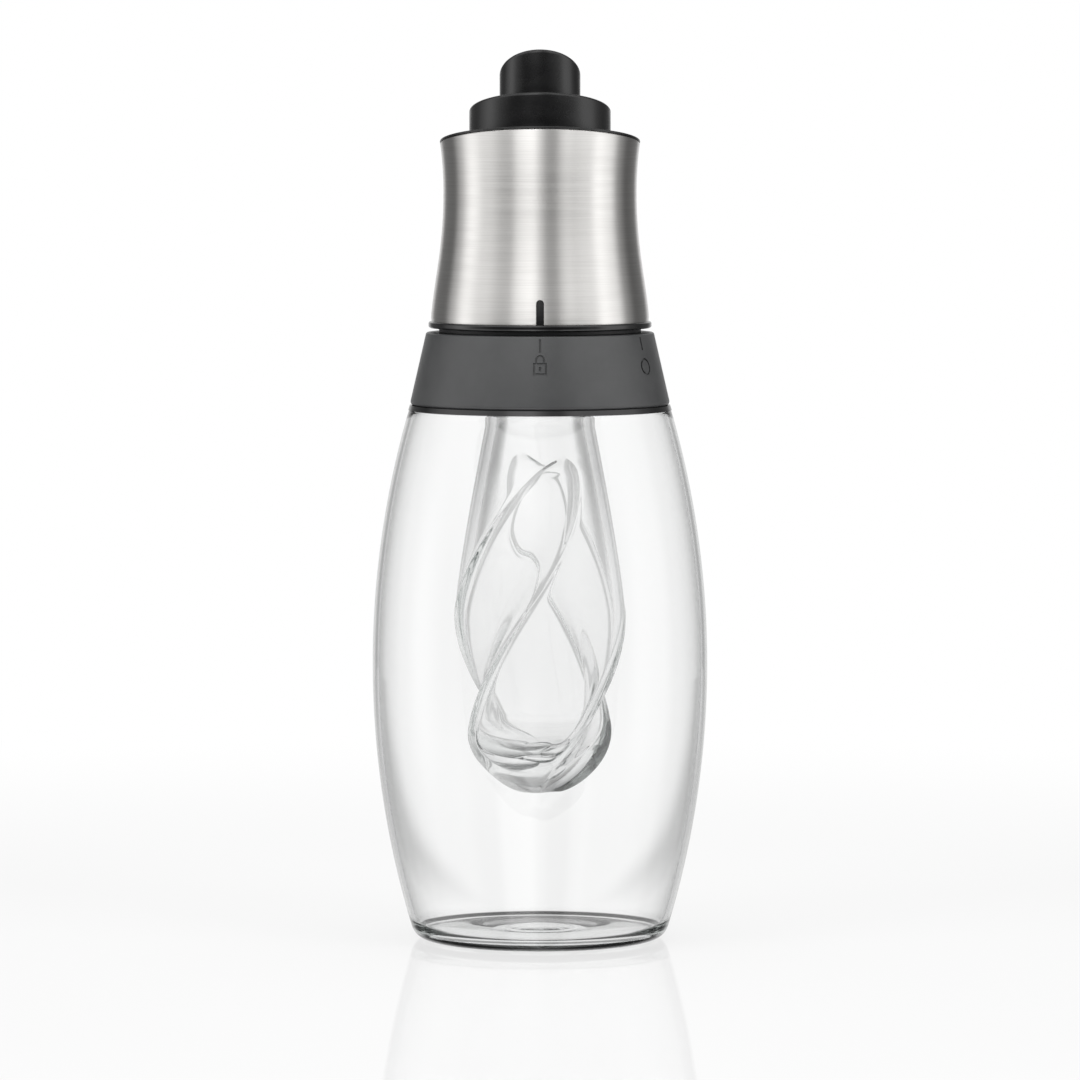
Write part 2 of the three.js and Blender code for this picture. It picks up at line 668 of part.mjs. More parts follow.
function twoSlots(innerR, outerR, lowZ, highZ) {
  const front = block(-SLOT_W / 2, SLOT_W / 2, -outerR, -innerR, lowZ, highZ);
  return front.add(block(-SLOT_W / 2, SLOT_W / 2, innerR, outerR, lowZ, highZ));
}

function rotorDisc() {
  const slots = twoSlots(slotInnerR, slotOuterR, rotorZ - CUT_MARGIN, coreFloorZ + CUT_MARGIN);
  const disc = ring(pivotHoleR, hubR, rotorZ, coreFloorZ).subtract(slots);
  return pegAngles.reduce((whole, degrees) => whole.add(
    pinAt(drivePegPitchR, degrees, DRIVE_PEG_R, rotorZ, coreFloorZ + DRIVE_PEG_H)), disc);
}

part('rotor_disc', rotorDisc(), paleAcetal());

// Core: hub and chamber, funnel, tube, and the flanges that centre the steel sleeve
function selectorCore() {
  const path = new THREE.Path();
  path.moveTo(pivotHoleR, coreFloorZ);
  path.lineTo(hubR, coreFloorZ);
  path.lineTo(hubR, sleeveBottomZ);
  path.lineTo(coreFlangeR, sleeveBottomZ);
  path.lineTo(coreFlangeR, sleeveBottomZ + CORE_FLANGE_T);
  path.lineTo(hubR, sleeveBottomZ + CORE_FLANGE_T);
  path.lineTo(hubR, funnelZ);
  path.lineTo(CORE_TUBE_R, coreTubeZ);
  path.lineTo(CORE_TUBE_R, topFlangeZ);
  path.lineTo(capSkirtR, topFlangeZ);
  path.lineTo(capSkirtR, topFlangeTopZ);
  path.lineTo(CORE_TUBE_R, topFlangeTopZ);
  path.lineTo(CORE_TUBE_R, coreTopZ);
  path.lineTo(coreTubeBoreR, coreTopZ);
  path.lineTo(coreTubeBoreR, coreTubeZ - CORE_WALL);
  path.lineTo(chamberR, funnelZ - CORE_WALL);
  path.lineTo(chamberR, chamberZ);
  path.lineTo(pivotHoleR, chamberZ);
  path.lineTo(pivotHoleR, coreFloorZ);
  const lowZ = coreFloorZ - CUT_MARGIN;
  const floorSlotR = chamberR - SEAT_GAP;
  const pegHoleR = DRIVE_PEG_R + SEAT_GAP;
  const slots = twoSlots(slotInnerR, floorSlotR, lowZ, chamberZ + CUT_MARGIN);
  let core = turnedPath(path, SMALL_FACETS).subtract(slots);
  for (const degrees of pegAngles) {
    core = core.subtract(pinAt(drivePegPitchR, degrees, pegHoleR, lowZ, chamberZ + CUT_MARGIN));
  }
  for (const degrees of capScrewAngles()) {
    core = core.subtract(pinAt(capScrewPitchR, degrees, CAP_SCREW_R + SEAT_GAP,
      topFlangeZ - CUT_MARGIN, topFlangeTopZ + CUT_MARGIN));
  }
  return core;
}

function capScrewAngles() {
  const step = 360 / CAP_SCREW_COUNT;
  return Array.from({ length: CAP_SCREW_COUNT }, (_, i) => step * (i + 0.5));
}

part('selector_core', selectorCore(), innerBlack());

// A socket-head screw with its head up
function socketScrew(shankR, headR, headH, hexR, hexDepth, tipZ, headZ) {
  const topZ = headZ + headH;
  const hex = rod(hexR, topZ - hexDepth, topZ + CUT_MARGIN, HEX_SIDES);
  return rod(shankR, tipZ, headZ, TINY_FACETS).add(rod(headR, headZ, topZ)).subtract(hex);
}

const pivotTipZ = bossBottomZ + PIVOT_TIP_GAP + SEAT_GAP;
part('pivot_screw', socketScrew(PIVOT_R, PIVOT_HEAD_R, PIVOT_HEAD_H, PIVOT_HEX_R, PIVOT_HEX_DEPTH,
  pivotTipZ, pivotHeadZ), plainSteel());
part('pivot_washer', ring(pivotHoleR, PIVOT_WASHER_R, pivotWasherZ, pivotHeadZ), plainSteel());

// Spring: one open coil between the core's floor and the pivot washer
class Coil extends THREE.Curve {
  constructor(radius, lowZ, highZ, turns) {
    super();
    Object.assign(this, { radius, lowZ, highZ, turns });
  }

  getPoint(t, target = new THREE.Vector3()) {
    const [x, y] = polar(this.radius, 360 * this.turns * t);
    return target.set(x, y, THREE.MathUtils.lerp(this.lowZ, this.highZ, t));
  }
}

function valveSpring() {
  const inset = SPRING_WIRE_R + SLANT_GAP;
  const coil = new Coil(SPRING_MEAN_R, chamberZ + inset, pivotWasherZ - inset, SPRING_TURNS);
  const steps = Math.round(SPRING_TURNS * SPRING_STEPS_PER_TURN);
  const points = coil.getPoints(steps);
  let leastGap = Infinity;
  for (let i = 0; i < points.length; i += 1) {
    for (let j = i + SPRING_STEPS_PER_TURN / 2; j < points.length; j += 1) {
      leastGap = Math.min(leastGap, points[i].distanceTo(points[j]) - 2 * SPRING_WIRE_R);
    }
  }
  console.log(`valve_spring least gap between turns ${leastGap.toFixed(2)} mm`);
  return drawn(coil, SPRING_WIRE_R, SPRING_SIDES, steps);
}

part('valve_spring', valveSpring(), plainSteel());

// Thrust washer in the gap between the collar and the turning sleeve
const thrustWasherR = collarTopR - THRUST_WASHER_SETBACK;
part('thrust_washer', ring(wellR, thrustWasherR, collarTopZ, trimBottomZ), innerBlack());

// Steel sleeve: an S-shaped rise to the waist and a slight flare up to the slanted top
function sleeveOutline(inset) {
  const waistZ = sleeveBottomZ + SLEEVE_WAIST_Z;
  const flareH = SLEEVE_H - SLEEVE_WAIST_Z;
  const reachZ = sleeveTopZ + SLEEVE_SLOPE * bellyR + CUT_MARGIN;
  const reachFlare = SLEEVE_TOP_FLARE * ((reachZ - waistZ) / flareH) ** 2;
  const [bottomR, waistR] = [sleeveBottomR - inset, sleeveWaistR - inset];
  const path = new THREE.Path();
  path.moveTo(bottomR, sleeveBottomZ);
  path.bezierCurveTo(bottomR - SLEEVE_FOOT_LEAN, sleeveBottomZ + SLEEVE_FOOT_RISE,
    waistR, waistZ - SLEEVE_WAIST_RUN, waistR, waistZ);
  path.quadraticCurveTo(waistR, (waistZ + reachZ) / 2, waistR + reachFlare, reachZ);
  return path.getPoints(OUTLINE_STEPS);
}

function sleeveShell(thickness) {
  const outside = sleeveOutline(0);
  const inside = sleeveOutline(thickness).reverse();
  return turned([...outside, ...inside, outside[0]]);
}

// The upright slip, round at the top, that the pointer fills and the steel leaves free
function pointerSlip(gap) {
  const halfW = POINTER_W / 2 + gap;
  const shape = new THREE.Shape();
  shape.moveTo(-halfW, sleeveBottomZ - CUT_MARGIN);
  shape.lineTo(halfW, sleeveBottomZ - CUT_MARGIN);
  shape.absarc(0, sleeveBottomZ + POINTER_H - POINTER_W / 2, halfW, 0, Math.PI, false);
  const options = { depth: bellyR, bevelEnabled: false, curveSegments: TINY_FACETS / 2 };
  return toSolid(new THREE.ExtrudeGeometry(shape, options).rotateX(Math.PI / 2));
}

part('steel_sleeve', sleeveShell(SLEEVE_T).subtract(above(sleeveTopZ, SLEEVE_SLOPE))
  .subtract(pointerSlip(POINTER_GAP)), brushedSteel());

// Trim ring with the pointer standing in the steel's notch
function trimRing() {
  const flat = ring(hubR + SEAT_GAP, trimR, trimBottomZ, sleeveBottomZ, LARGE_FACETS);
  const pointer = sleeveShell(SLEEVE_T).intersect(pointerSlip(0));
  return flat.add(pointer);
}

part('trim_ring', trimRing(), glossBlack());

// Cap: a slanted rim that carries the steel's outline on, a plate, a skirt and screw bosses
const skirtBottomZ = topFlangeTopZ + CAP_SKIRT_GAP;
const rimBottomZ = sleeveTopZ + SLANT_GAP;
const stemHoleR = stemR + SEAT_GAP;

function topCap() {
  const outline = sleeveOutline(0);
  const top = outline[outline.length - 1].y;
  const whole = turned([new THREE.Vector2(0, sleeveBottomZ), ...outline, new THREE.Vector2(0, top)]);
  const rim = whole.subtract(above(capTopZ, SLEEVE_SLOPE)).intersect(above(rimBottomZ, SLEEVE_SLOPE));
  const plateBottom = above(sleeveTopZ - CAP_PLATE_T, SLEEVE_SLOPE);
  const core = rod(capSkirtR, skirtBottomZ, top).subtract(above(capTopZ, SLEEVE_SLOPE));
  const hollow = rod(capSkirtR - CAP_SKIRT_WALL, skirtBottomZ - CUT_MARGIN, top).subtract(plateBottom);
  const stemHole = rod(stemHoleR, skirtBottomZ - CUT_MARGIN, top);
  let cap = rim.add(core.subtract(hollow));
  for (const degrees of capScrewAngles()) {
    const boss = pinAt(capScrewPitchR, degrees, CAP_BOSS_R, topFlangeTopZ, top, SMALL_FACETS);
    const hole = pinAt(capScrewPitchR, degrees, CAP_SCREW_R + SEAT_GAP,
      topFlangeTopZ - CUT_MARGIN, capScrewTipZ + SEAT_GAP);
    cap = cap.add(boss.subtract(above(capTopZ, SLEEVE_SLOPE))).subtract(hole);
  }
  return cap.subtract(stemHole);
}

const capScrewTipZ = topFlangeZ + CAP_SCREW_L;
part('top_cap', topCap(), mattBlack());

// Cap screws come up through the core's top flange, heads down
function capScrew(degrees) {
  const [x, y] = polar(capScrewPitchR, degrees);
  const headBottomZ = topFlangeZ - CAP_SCREW_HEAD_H;
  const shank = rod(CAP_SCREW_R, topFlangeZ, capScrewTipZ, TINY_FACETS);
  const head = rod(CAP_SCREW_HEAD_R, headBottomZ, topFlangeZ, TINY_FACETS);
  const hex = rod(CAP_SCREW_HEX_R, headBottomZ - CUT_MARGIN, headBottomZ + CAP_SCREW_HEX_DEPTH,
    HEX_SIDES);
  return shank.add(head).subtract(hex).translate([x, y, 0]);
}

capScrewAngles().forEach((degrees, i) => part(`cap_screw_${i + 1}`, capScrew(degrees), plainSteel()));

// Spout base: the lower step, with a stem that goes through the cap and over the core's tube
const tipSocketZ = spoutBaseTopZ - TIP_STEM_L - SEAT_GAP;
const tipSocketR = tipStemR + SEAT_GAP;

function spoutBase() {
  const lift = capTopZ + SLANT_GAP;
  const step = rod(SPOUT_BASE_R, sleeveBottomZ, spoutTipTopZ, LARGE_FACETS)
    .intersect(above(lift, SLEEVE_SLOPE));
  const stem = rod(stemR, stemShoulderZ - SPOUT_STEM_L, spoutTipTopZ);
  const topZ = spoutTipTopZ + CUT_MARGIN;
  return step.add(stem)
    .subtract(above(spoutBaseTopZ, SPOUT_BASE_SLOPE))
    .subtract(rod(stemBoreR, sleeveBottomZ, stemShoulderZ))
    .subtract(rod(coreTubeBoreR, sleeveBottomZ, topZ))
    .subtract(rod(tipSocketR, tipSocketZ, topZ));
}

part('spout_base', spoutBase(), mattBlack());
part('spout_seal', ring(coreTubeBoreR, CORE_TUBE_R, coreTopZ, stemShoulderZ), clearSilicone());

// Spout tip: the upper step, with its stem in the base and the outlet through its slanted top
function spoutTip() {
  const lift = spoutBaseTopZ + SLANT_GAP;
  const stemBottomZ = spoutBaseTopZ - TIP_STEM_L;
  const topZ = spoutTipTopZ + SPOUT_TIP_SLOPE * SPOUT_TIP_R + CUT_MARGIN;
  const boreTop = stemBottomZ + TIP_STEM_L;
  const bore = new THREE.Path();
  bore.moveTo(0, stemBottomZ - CUT_MARGIN);
  bore.lineTo(coreTubeBoreR - SEAT_GAP, stemBottomZ - CUT_MARGIN);
  bore.lineTo(coreTubeBoreR - SEAT_GAP, boreTop);
  bore.lineTo(OUTLET_R, boreTop + OUTLET_NARROWING_H);
  bore.lineTo(OUTLET_R, topZ);
  bore.lineTo(0, topZ);
  const knob = rod(SPOUT_TIP_R, capTopZ, topZ, LARGE_FACETS).intersect(above(lift, SPOUT_BASE_SLOPE));
  return knob.add(rod(tipStemR, stemBottomZ, boreTop + OUTLET_NARROWING_H))
    .subtract(above(spoutTipTopZ, SPOUT_TIP_SLOPE))
    .subtract(turnedPath(bore, SMALL_FACETS));
}

part('spout_tip', spoutTip(), mattBlack());

// Breather: a shoe over the core's air slot and a tube that leads up beside the axis
function breatherTube() {
  const shoeInnerR = slotInnerR + SEAT_GAP;
  const shoeOuterR = chamberR - CORE_WALL / 2;
  const halfW = SLOT_W / 2 + BREATHER_SHOE_WALL;
  const shoeTopZ = chamberZ + BREATHER_SHOE_H;
  const roofZ = shoeTopZ - BREATHER_SHOE_WALL;
  const shoe = block(-halfW, halfW, shoeInnerR, shoeOuterR, chamberZ, shoeTopZ);
  const hollow = block(-SLOT_W / 2, SLOT_W / 2, shoeInnerR + BREATHER_SHOE_WALL,
    shoeOuterR - BREATHER_SHOE_WALL, chamberZ - CUT_MARGIN, roofZ);
  const footY = (shoeInnerR + shoeOuterR) / 2;
  const topZ = coreTopZ - CUT_MARGIN;
  const route = (footZ, endZ) => new THREE.CatmullRomCurve3([
    new THREE.Vector3(0, footY, footZ),
    new THREE.Vector3(0, footY, pivotHeadZ),
    new THREE.Vector3(0, BREATHER_TOP_Y, coreTubeZ),
    new THREE.Vector3(0, BREATHER_TOP_Y, endZ),
  ], false, 'centripetal');
  const wall = drawn(route(roofZ, topZ), BREATHER_R, BREATHER_SIDES, BREATHER_STEPS);
  const bore = drawn(route(roofZ - BREATHER_SHOE_WALL / 2, topZ + CUT_MARGIN / 2), BREATHER_BORE_R,
    BREATHER_SIDES, BREATHER_STEPS);
  return shoe.add(wall).subtract(hollow).subtract(bore);
}

part('breather_tube', breatherTube(), innerBlack());

export default dispenser;
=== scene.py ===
"""Oil and vinegar dispenser: fine surfaces and finishes. Metres, +Z up, with the front at -Y."""

import math

import bmesh
import bpy
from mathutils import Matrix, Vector
from mathutils.bvhtree import BVHTree
from mathutils.interpolate import poly_3d_calc


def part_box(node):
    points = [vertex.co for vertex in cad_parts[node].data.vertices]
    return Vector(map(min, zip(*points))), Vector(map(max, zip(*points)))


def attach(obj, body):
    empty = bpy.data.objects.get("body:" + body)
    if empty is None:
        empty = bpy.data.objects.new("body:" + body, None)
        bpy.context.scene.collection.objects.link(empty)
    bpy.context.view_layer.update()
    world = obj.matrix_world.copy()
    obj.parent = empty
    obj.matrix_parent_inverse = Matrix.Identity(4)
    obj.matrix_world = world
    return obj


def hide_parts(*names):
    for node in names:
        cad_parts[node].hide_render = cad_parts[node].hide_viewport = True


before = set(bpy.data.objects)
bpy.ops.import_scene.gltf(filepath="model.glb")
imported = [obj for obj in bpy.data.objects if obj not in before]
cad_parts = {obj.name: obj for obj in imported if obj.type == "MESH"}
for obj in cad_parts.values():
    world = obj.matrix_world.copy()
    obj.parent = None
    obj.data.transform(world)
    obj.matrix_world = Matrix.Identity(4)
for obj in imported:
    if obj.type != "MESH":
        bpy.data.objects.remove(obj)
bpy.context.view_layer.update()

MM = 0.001

# Fineness of the surfaces
SEGMENTS = 256
SMALL_SEGMENTS = 96
CURVE_STEPS = 24
FILLET_STEPS = 6
SHARP_ANGLE = math.radians(32)
SAME_SURFACE = math.cos(math.radians(25))
PROBE_INSET = 0.02
FLARE_ROUNDS = 3
ON_AXIS = 1e-9
SQUARE = ((-1, -1), (1, -1), (1, 1), (-1, 1))

# Clearances and small edges
SLANT_GAP = 0.1 * MM
EASE = 0.2 * MM
CUT_MARGIN = 2.0 * MM

# Bottle
BOTTLE_WALL = 1.3 * MM
NECK_WALL = 2.0 * MM
NECK_H = 11.6 * MM
BARREL_BULGE = 8.1 * MM
BELLY_Z = 60.5 * MM
BASE_T = 1.8 * MM
BASE_CORNER = 3.2 * MM
FOOT_FILLET = 3.0 * MM
SHOULDER_FILLET = 1.2 * MM
SHOULDER_LIFT = 0.6 * MM
SHOULDER_RISE = 2.0 * MM
SHOULDER_RISE_R = 2.0 * MM
SHOULDER_T = 1.6 * MM
RIM_FILLET = 0.6 * MM
PUNT_R = 11.0 * MM
PUNT_STEP_R = 9.6 * MM
PUNT_STEP = 0.55 * MM
PUNT_RING_R = 7.6 * MM
PUNT_TURN_R = 6.6 * MM
PUNT_DEPTH = 1.05 * MM

# Vessel
VESSEL_BELLY_R = 18.7 * MM
VESSEL_NECK_R = 11.4 * MM
VESSEL_NECK_WALL = 2.5 * MM
VESSEL_NECK_L = 4.1 * MM
VESSEL_RIM_FILLET = 0.9 * MM
VESSEL_BELLY_Z = 39.0 * MM
VESSEL_SHOULDER_RUN = 8.0 * MM
VESSEL_HIP_R = 16.6 * MM
VESSEL_HIP_Z = 14.0 * MM
VESSEL_HIP_RUN = 18.0 * MM
VESSEL_FOOT_R = 4.5 * MM
VESSEL_FOOT_TURN = (8.5 * MM, 0.8 * MM)
VESSEL_FOOT_SIDE = (15.5 * MM, 6.5 * MM)
VESSEL_DIMPLE_H = 1.2 * MM
VESSEL_DIMPLE_TURN_R = 3.2 * MM
VESSEL_FLOOR_T = 8.0 * MM
VESSEL_FLOOR_TURN = 9.0 * MM
VESSEL_WALL = 2.3 * MM
SCOOP_COUNT = 2
SCOOP_HALF_WIDTH = 38
SCOOP_TOP_DROP = 14.0 * MM
SCOOP_OPENING_L = 10.0 * MM
SCOOP_START = 22
SCOOP_TWIST = 1.9 / MM
SCOOP_TWIST_GAIN = 0.0045 / MM ** 2
SCOOP_COLUMNS = 30
LOBE_COLUMNS = 34
LEAST_SCOOP_SPREAD = 3
SCOOP_HOLLOW = 1.8 * MM
LEAST_CHORD_COSINE = 0.1
RIDGE_ROUNDING = 0.5 * MM
LEAST_ROUNDING = 1e-6
BEAD_H = 0.3 * MM
BEAD_HALF_W = 0.6 * MM
BEAD_LEAST = 0.25
CAVITY_ROUNDING = 2.2 * MM
CAVITY_DELAY = 3.0 * MM

# Collar and its marks
COLLAR_TOP_R = 25.0 * MM
COLLAR_BORE_R = 24.1 * MM
COLLAR_LIP_R = 26.4 * MM
COLLAR_WELL_R = 18.0 * MM
COLLAR_BORE_H = 6.0 * MM
COLLAR_DECK_T = 2.3 * MM
COLLAR_EDGE = 0.45 * MM
COLLAR_ROLL = 0.8 * MM
COLLAR_FOOT_LIFT = 0.5 * MM
LIP_GAP = 0.05 * MM
LIP_PROUD = 0.12 * MM
LIP_DROP = 0.9 * MM
MARK_DEPTH = 0.35 * MM
MARK_LINE = 0.45 * MM
MARK_STEP = 60
MARK_ARC_STEPS = 32
TICK_L = 2.9 * MM
TICK_TOP = 0.6 * MM
MARK_DROP = 7.0 * MM
LOCK_W = 3.0 * MM
LOCK_H = 2.7 * MM
SHACKLE_R = 1.05 * MM
SHACKLE_LEG = 0.7 * MM
KEYHOLE_W = 0.5 * MM
KEYHOLE_H = 0.9 * MM
RING_R = 1.9 * MM
CHEVRON_W = 3.4 * MM
CHEVRON_H = 3.4 * MM

# Plug and seals
PLUG_R = 20.2 * MM
PLUG_FLANGE_T = 2.2 * MM
PLUG_DECK_T = 2.0 * MM
WELL_DEPTH = 8.0 * MM
GROOVE_DEPTH = 1.0 * MM
SOCKET_R = 13.9 * MM
SOCKET_WALL = 1.0 * MM
SOCKET_L = 5.0 * MM
BOSS_R = 3.6 * MM
BOSS_L = 5.5 * MM
BOSS_FLOOR_T = 0.8 * MM
SCREW_HOLE_R = 2.05 * MM
PLUG_EDGE = 0.4 * MM
PLUG_FOOT_RISE = 0.6 * MM
OIL_PORT_R = 1.2 * MM
OIL_PORT_PITCH_R = 15.95 * MM
VINEGAR_PORT_R = 1.6 * MM
VINEGAR_PORT_PITCH_R = 6.2 * MM
SEAL_BORE_GAP = 0.3 * MM
SEAL_EDGE = 0.8 * MM
VESSEL_SEAL_T = 0.9 * MM

# Steel sleeve, trim ring and pointer
SLEEVE_R = 24.0 * MM
SLEEVE_WAIST_R = 21.2 * MM
SLEEVE_H = 38.9 * MM
SLEEVE_WAIST_Z = 28.5 * MM
SLEEVE_T = 0.8 * MM
SLEEVE_EDGE = 0.15 * MM
SLEEVE_TOP_FLARE = 0.7 * MM
SLEEVE_SLOPE = 0.155
SLEEVE_FOOT_LEAN = 0.4 * MM
SLEEVE_FOOT_RISE = 7.8 * MM
SLEEVE_WAIST_RUN = 13.2 * MM
TRIM_BORE_R = 17.9 * MM
TRIM_T = 1.4 * MM
TRIM_EDGE = 0.45 * MM
POINTER_W = 1.4 * MM
POINTER_H = 5.3 * MM
POINTER_GAP = 0.15 * MM

# Cap and spout
CAP_REVEAL = 0.6 * MM
CAP_PLATE_T = 2.0 * MM
CAP_SKIRT_R = 20.1 * MM
CAP_SKIRT_WALL = 1.6 * MM
CAP_SKIRT_L = 5.4 * MM
CAP_HOLE_R = 9.7 * MM
CAP_EDGE = 0.25 * MM
SPOUT_BASE_H = 6.9 * MM
SPOUT_BASE_SLOPE = 0.258
SPOUT_BASE_EDGE = 0.6 * MM
STEM_R = 9.4 * MM
STEM_BORE_R = 7.3 * MM
STEM_SHOULDER_DROP = 0.6 * MM
STEM_L = 4.5 * MM
TUBE_BORE_R = 5.2 * MM
SPOUT_TIP_H = 8.2 * MM
SPOUT_TIP_SLOPE = 0.6
SPOUT_TIP_EDGE = 0.8 * MM
TIP_STEM_R = 6.9 * MM
TIP_STEM_L = 4.4 * MM
TIP_BORE_R = 4.9 * MM
TIP_SOCKET_R = 7.2 * MM
TIP_SOCKET_L = 4.7 * MM
OUTLET_R = 3.4 * MM
OUTLET_EDGE = 0.4 * MM
OUTLET_NARROWING_H = 3.0 * MM

# Camera, floor and lamps
CAMERA_AT = (0.0, -1.45, 0.1905)
CAMERA_AIM = (0.0, 0.0, 0.088)
CAMERA_LENS = 220.0
FLOOR_HALF = 0.6
FLOOR_DROP = 0.05 * MM
FLOOR_WHITE_R = 0.45
FLOOR_SHEEN_R = 0.16
FLOOR_UNDER_R = 0.024
FLOOR_CLEAR_R = 0.04
FLOOR_GLOW = 0.85
FLOOR_UNDER_GLOW = 0.88
FLOOR_LIT_TONE = (0.35, 0.35, 0.35, 1.0)
FLOOR_SEEN_TONE = (0.92, 0.92, 0.92, 1.0)
FLOOR_SHEEN = 0.2
FLOOR_ROUGHNESS = 0.01
WHITE = (1.0, 1.0, 1.0, 1.0)
BOUNCES = 48


# Outlines

def spaced(start, end, steps):
    """Evenly spaced values, with both ends."""
    return [start + (end - start) * i / steps for i in range(steps + 1)]


def curve(*knots, steps=CURVE_STEPS):
    """Points of the Bezier curve from the first knot to the last one, which is left out."""
    degree = len(knots) - 1
    points = []
    for t in spaced(0.0, 1.0, steps)[:-1]:
        weights = [math.comb(degree, i) * t ** i * (1 - t) ** (degree - i) for i in range(degree + 1)]
        points.append(tuple(sum(w * knot[axis] for w, knot in zip(weights, knots)) for axis in (0, 1)))
    return points


def rounded(corners):
    """The closed outline through (radius, height, fillet) corners, with an arc at each fillet."""
    points = []
    for i, (r, z, fillet) in enumerate(corners):
        corner = Vector((r, z))
        if not fillet:
            points.append((r, z))
            continue
        before = (Vector(corners[i - 1][:2]) - corner).normalized()
        after = (Vector(corners[(i + 1) % len(corners)][:2]) - corner).normalized()
        half = before.angle(after) / 2
        centre = corner + (before + after).normalized() * (fillet / math.sin(half))
        arms = [corner + side * (fillet / math.tan(half)) - centre for side in (before, after)]
        start, end = (math.atan2(arm.y, arm.x) for arm in arms)
        sweep = (end - start + math.pi) % (2 * math.pi) - math.pi
        for angle in spaced(start, start + sweep, FILLET_STEPS):
            points.append((centre.x + fillet * math.cos(angle), centre.y + fillet * math.sin(angle)))
    return points


def polar(radius, angle):
    """x and y at an angle from the front, towards +X."""
    return radius * math.sin(angle), -radius * math.cos(angle)


# Meshes

def mesh_object(name, vertices, faces, material, sharp=SHARP_ANGLE):
    """A smooth-shaded object whose faces point outwards."""
    mesh = bpy.data.meshes.new(name)
    mesh.from_pydata(vertices, [], faces)
    work = bmesh.new()
    work.from_mesh(mesh)
    bmesh.ops.recalc_face_normals(work, faces=work.faces)
    work.to_mesh(mesh)
    work.free()
    mesh.shade_smooth()
    if sharp:
        mesh.set_sharp_from_angle(angle=sharp)
    if material:
        mesh.materials.append(material)
    obj = bpy.data.objects.new(name, mesh)
    bpy.context.scene.collection.objects.link(obj)
    return obj


def lofted(name, rings, material, closed, sharp=SHARP_ANGLE, capped=False):
    """Rings of points joined in turn; a ring of one point closes that end to a tip, and caps close both."""
    vertices, starts = [], []
    for points in rings:
        starts.append(len(vertices))
        vertices.extend(points)
    faces = []
    pairs = list(zip(range(len(rings)), range(1, len(rings))))
    if closed:
        pairs.append((len(rings) - 1, 0))
    for low, high in pairs:
        count = max(len(rings[low]), len(rings[high]))
        for i in range(count):
            corners = []
            for row, column in ((low, i), (low, i + 1), (high, i + 1), (high, i)):
                corner = starts[row] + column % len(rings[row])
                if corner not in corners:
                    corners.append(corner)
            faces.append(corners)
    if capped:
        faces += [list(range(len(rings[0]))), list(range(starts[-1], len(vertices)))]
    return mesh_object(name, vertices, faces, material, sharp)


def flare_radius(z):
    """The steel's outside radius above its waist."""
    rise = z - sleeve_waist_z
    return SLEEVE_WAIST_R + SLEEVE_TOP_FLARE * (rise / (SLEEVE_H - SLEEVE_WAIST_Z)) ** 2


def slanted_point(r, z, slope, flared, angle):
    """A point raised by the slope towards the front; a flared one keeps to the steel's outline."""
    radius, height = r, z
    for _ in range(FLARE_ROUNDS):
        height = z + slope * radius * math.cos(angle)
        if flared:
            radius = r + flare_radius(height) - flare_radius(z)
    return (*polar(radius, angle), height)


def turned(name, outline, material, slant=None, flared_from=math.inf, segments=SEGMENTS):
    """An outline of (radius, height) points turned about Z.

    slant is (height, slope, height, slope): the slope changes from the first to the second.
    Points further out than flared_from follow the steel's flare where they are raised.
    """
    rings = []
    for r, z in outline:
        slope = 0.0
        if slant:
            low, low_slope, high, high_slope = slant
            share = min(1.0, max(0.0, (z - low) / (high - low)))
            slope = low_slope + (high_slope - low_slope) * share
        if r < ON_AXIS:
            rings.append([(0.0, 0.0, z)])
            continue
        angles = spaced(0.0, 2 * math.pi, segments)[:-1]
        rings.append([slanted_point(r, z, slope, slope and r > flared_from, a) for a in angles])
    return lofted(name, rings, material, closed=len(rings[0]) > 1)


def shading_of(obj):
    """What restore_shading needs to know of a surface before it is cut."""
    mesh = obj.data
    corner_normals = [corner.vector.copy() for corner in mesh.corner_normals]
    tree = BVHTree.FromPolygons([v.co for v in mesh.vertices], [p.vertices for p in mesh.polygons])
    faces = []
    for polygon in mesh.polygons:
        places = [mesh.vertices[v].co.copy() for v in polygon.vertices]
        faces.append((places, [corner_normals[corner] for corner in polygon.loop_indices]))
    return tree, faces


def restore_shading(obj, shading):
    """Gives what is left of a cut surface the smooth normals that it had; cut walls stay flat."""
    tree, faces = shading
    mesh = obj.data
    mesh.shade_smooth()
    normals = []
    for polygon in mesh.polygons:
        for vertex in polygon.vertices:
            probe = mesh.vertices[vertex].co.lerp(polygon.center, PROBE_INSET)
            hit, face_normal, index, _ = tree.find_nearest(probe)
            normal = polygon.normal.copy()
            if face_normal.dot(normal) > SAME_SURFACE:
                places, corner_normals = faces[index]
                weights = poly_3d_calc(places, hit)
                normal = sum((n * w for n, w in zip(corner_normals, weights)), Vector()).normalized()
            normals.append(normal)
    mesh.normals_split_custom_set(normals)


def combine(obj, others, operation):
    """Joins other solids to obj, or cuts them from it, and removes them; obj keeps its shading."""
    shading = shading_of(obj)
    for other in others:
        modifier = obj.modifiers.new("combine", "BOOLEAN")
        modifier.operation = operation
        modifier.solver = "EXACT"
        modifier.object = other
        bpy.context.view_layer.objects.active = obj
        bpy.ops.object.modifier_apply(modifier=modifier.name)
        bpy.data.meshes.remove(other.data)
    restore_shading(obj, shading)
    return obj


def cylinder(pitch_r, degrees, radius, low, high):
    """An upright cylinder at an angle and a pitch radius."""
    x, y = polar(pitch_r, math.radians(degrees))
    obj = turned("cylinder", [(0.0, low), (radius, low), (radius, high), (0.0, high)], None,
                 segments=SMALL_SEGMENTS // 2)
    for vertex in obj.data.vertices:
        vertex.co += Vector((x, y, 0.0))
    return obj


def ring_section(bore_r, low, outer_r, high, edge, outer_edge):
    """The corners of a plain ring's section."""
    return [(bore_r, low, edge), (outer_r, low, outer_edge),
            (outer_r, high, outer_edge), (bore_r, high, edge)]


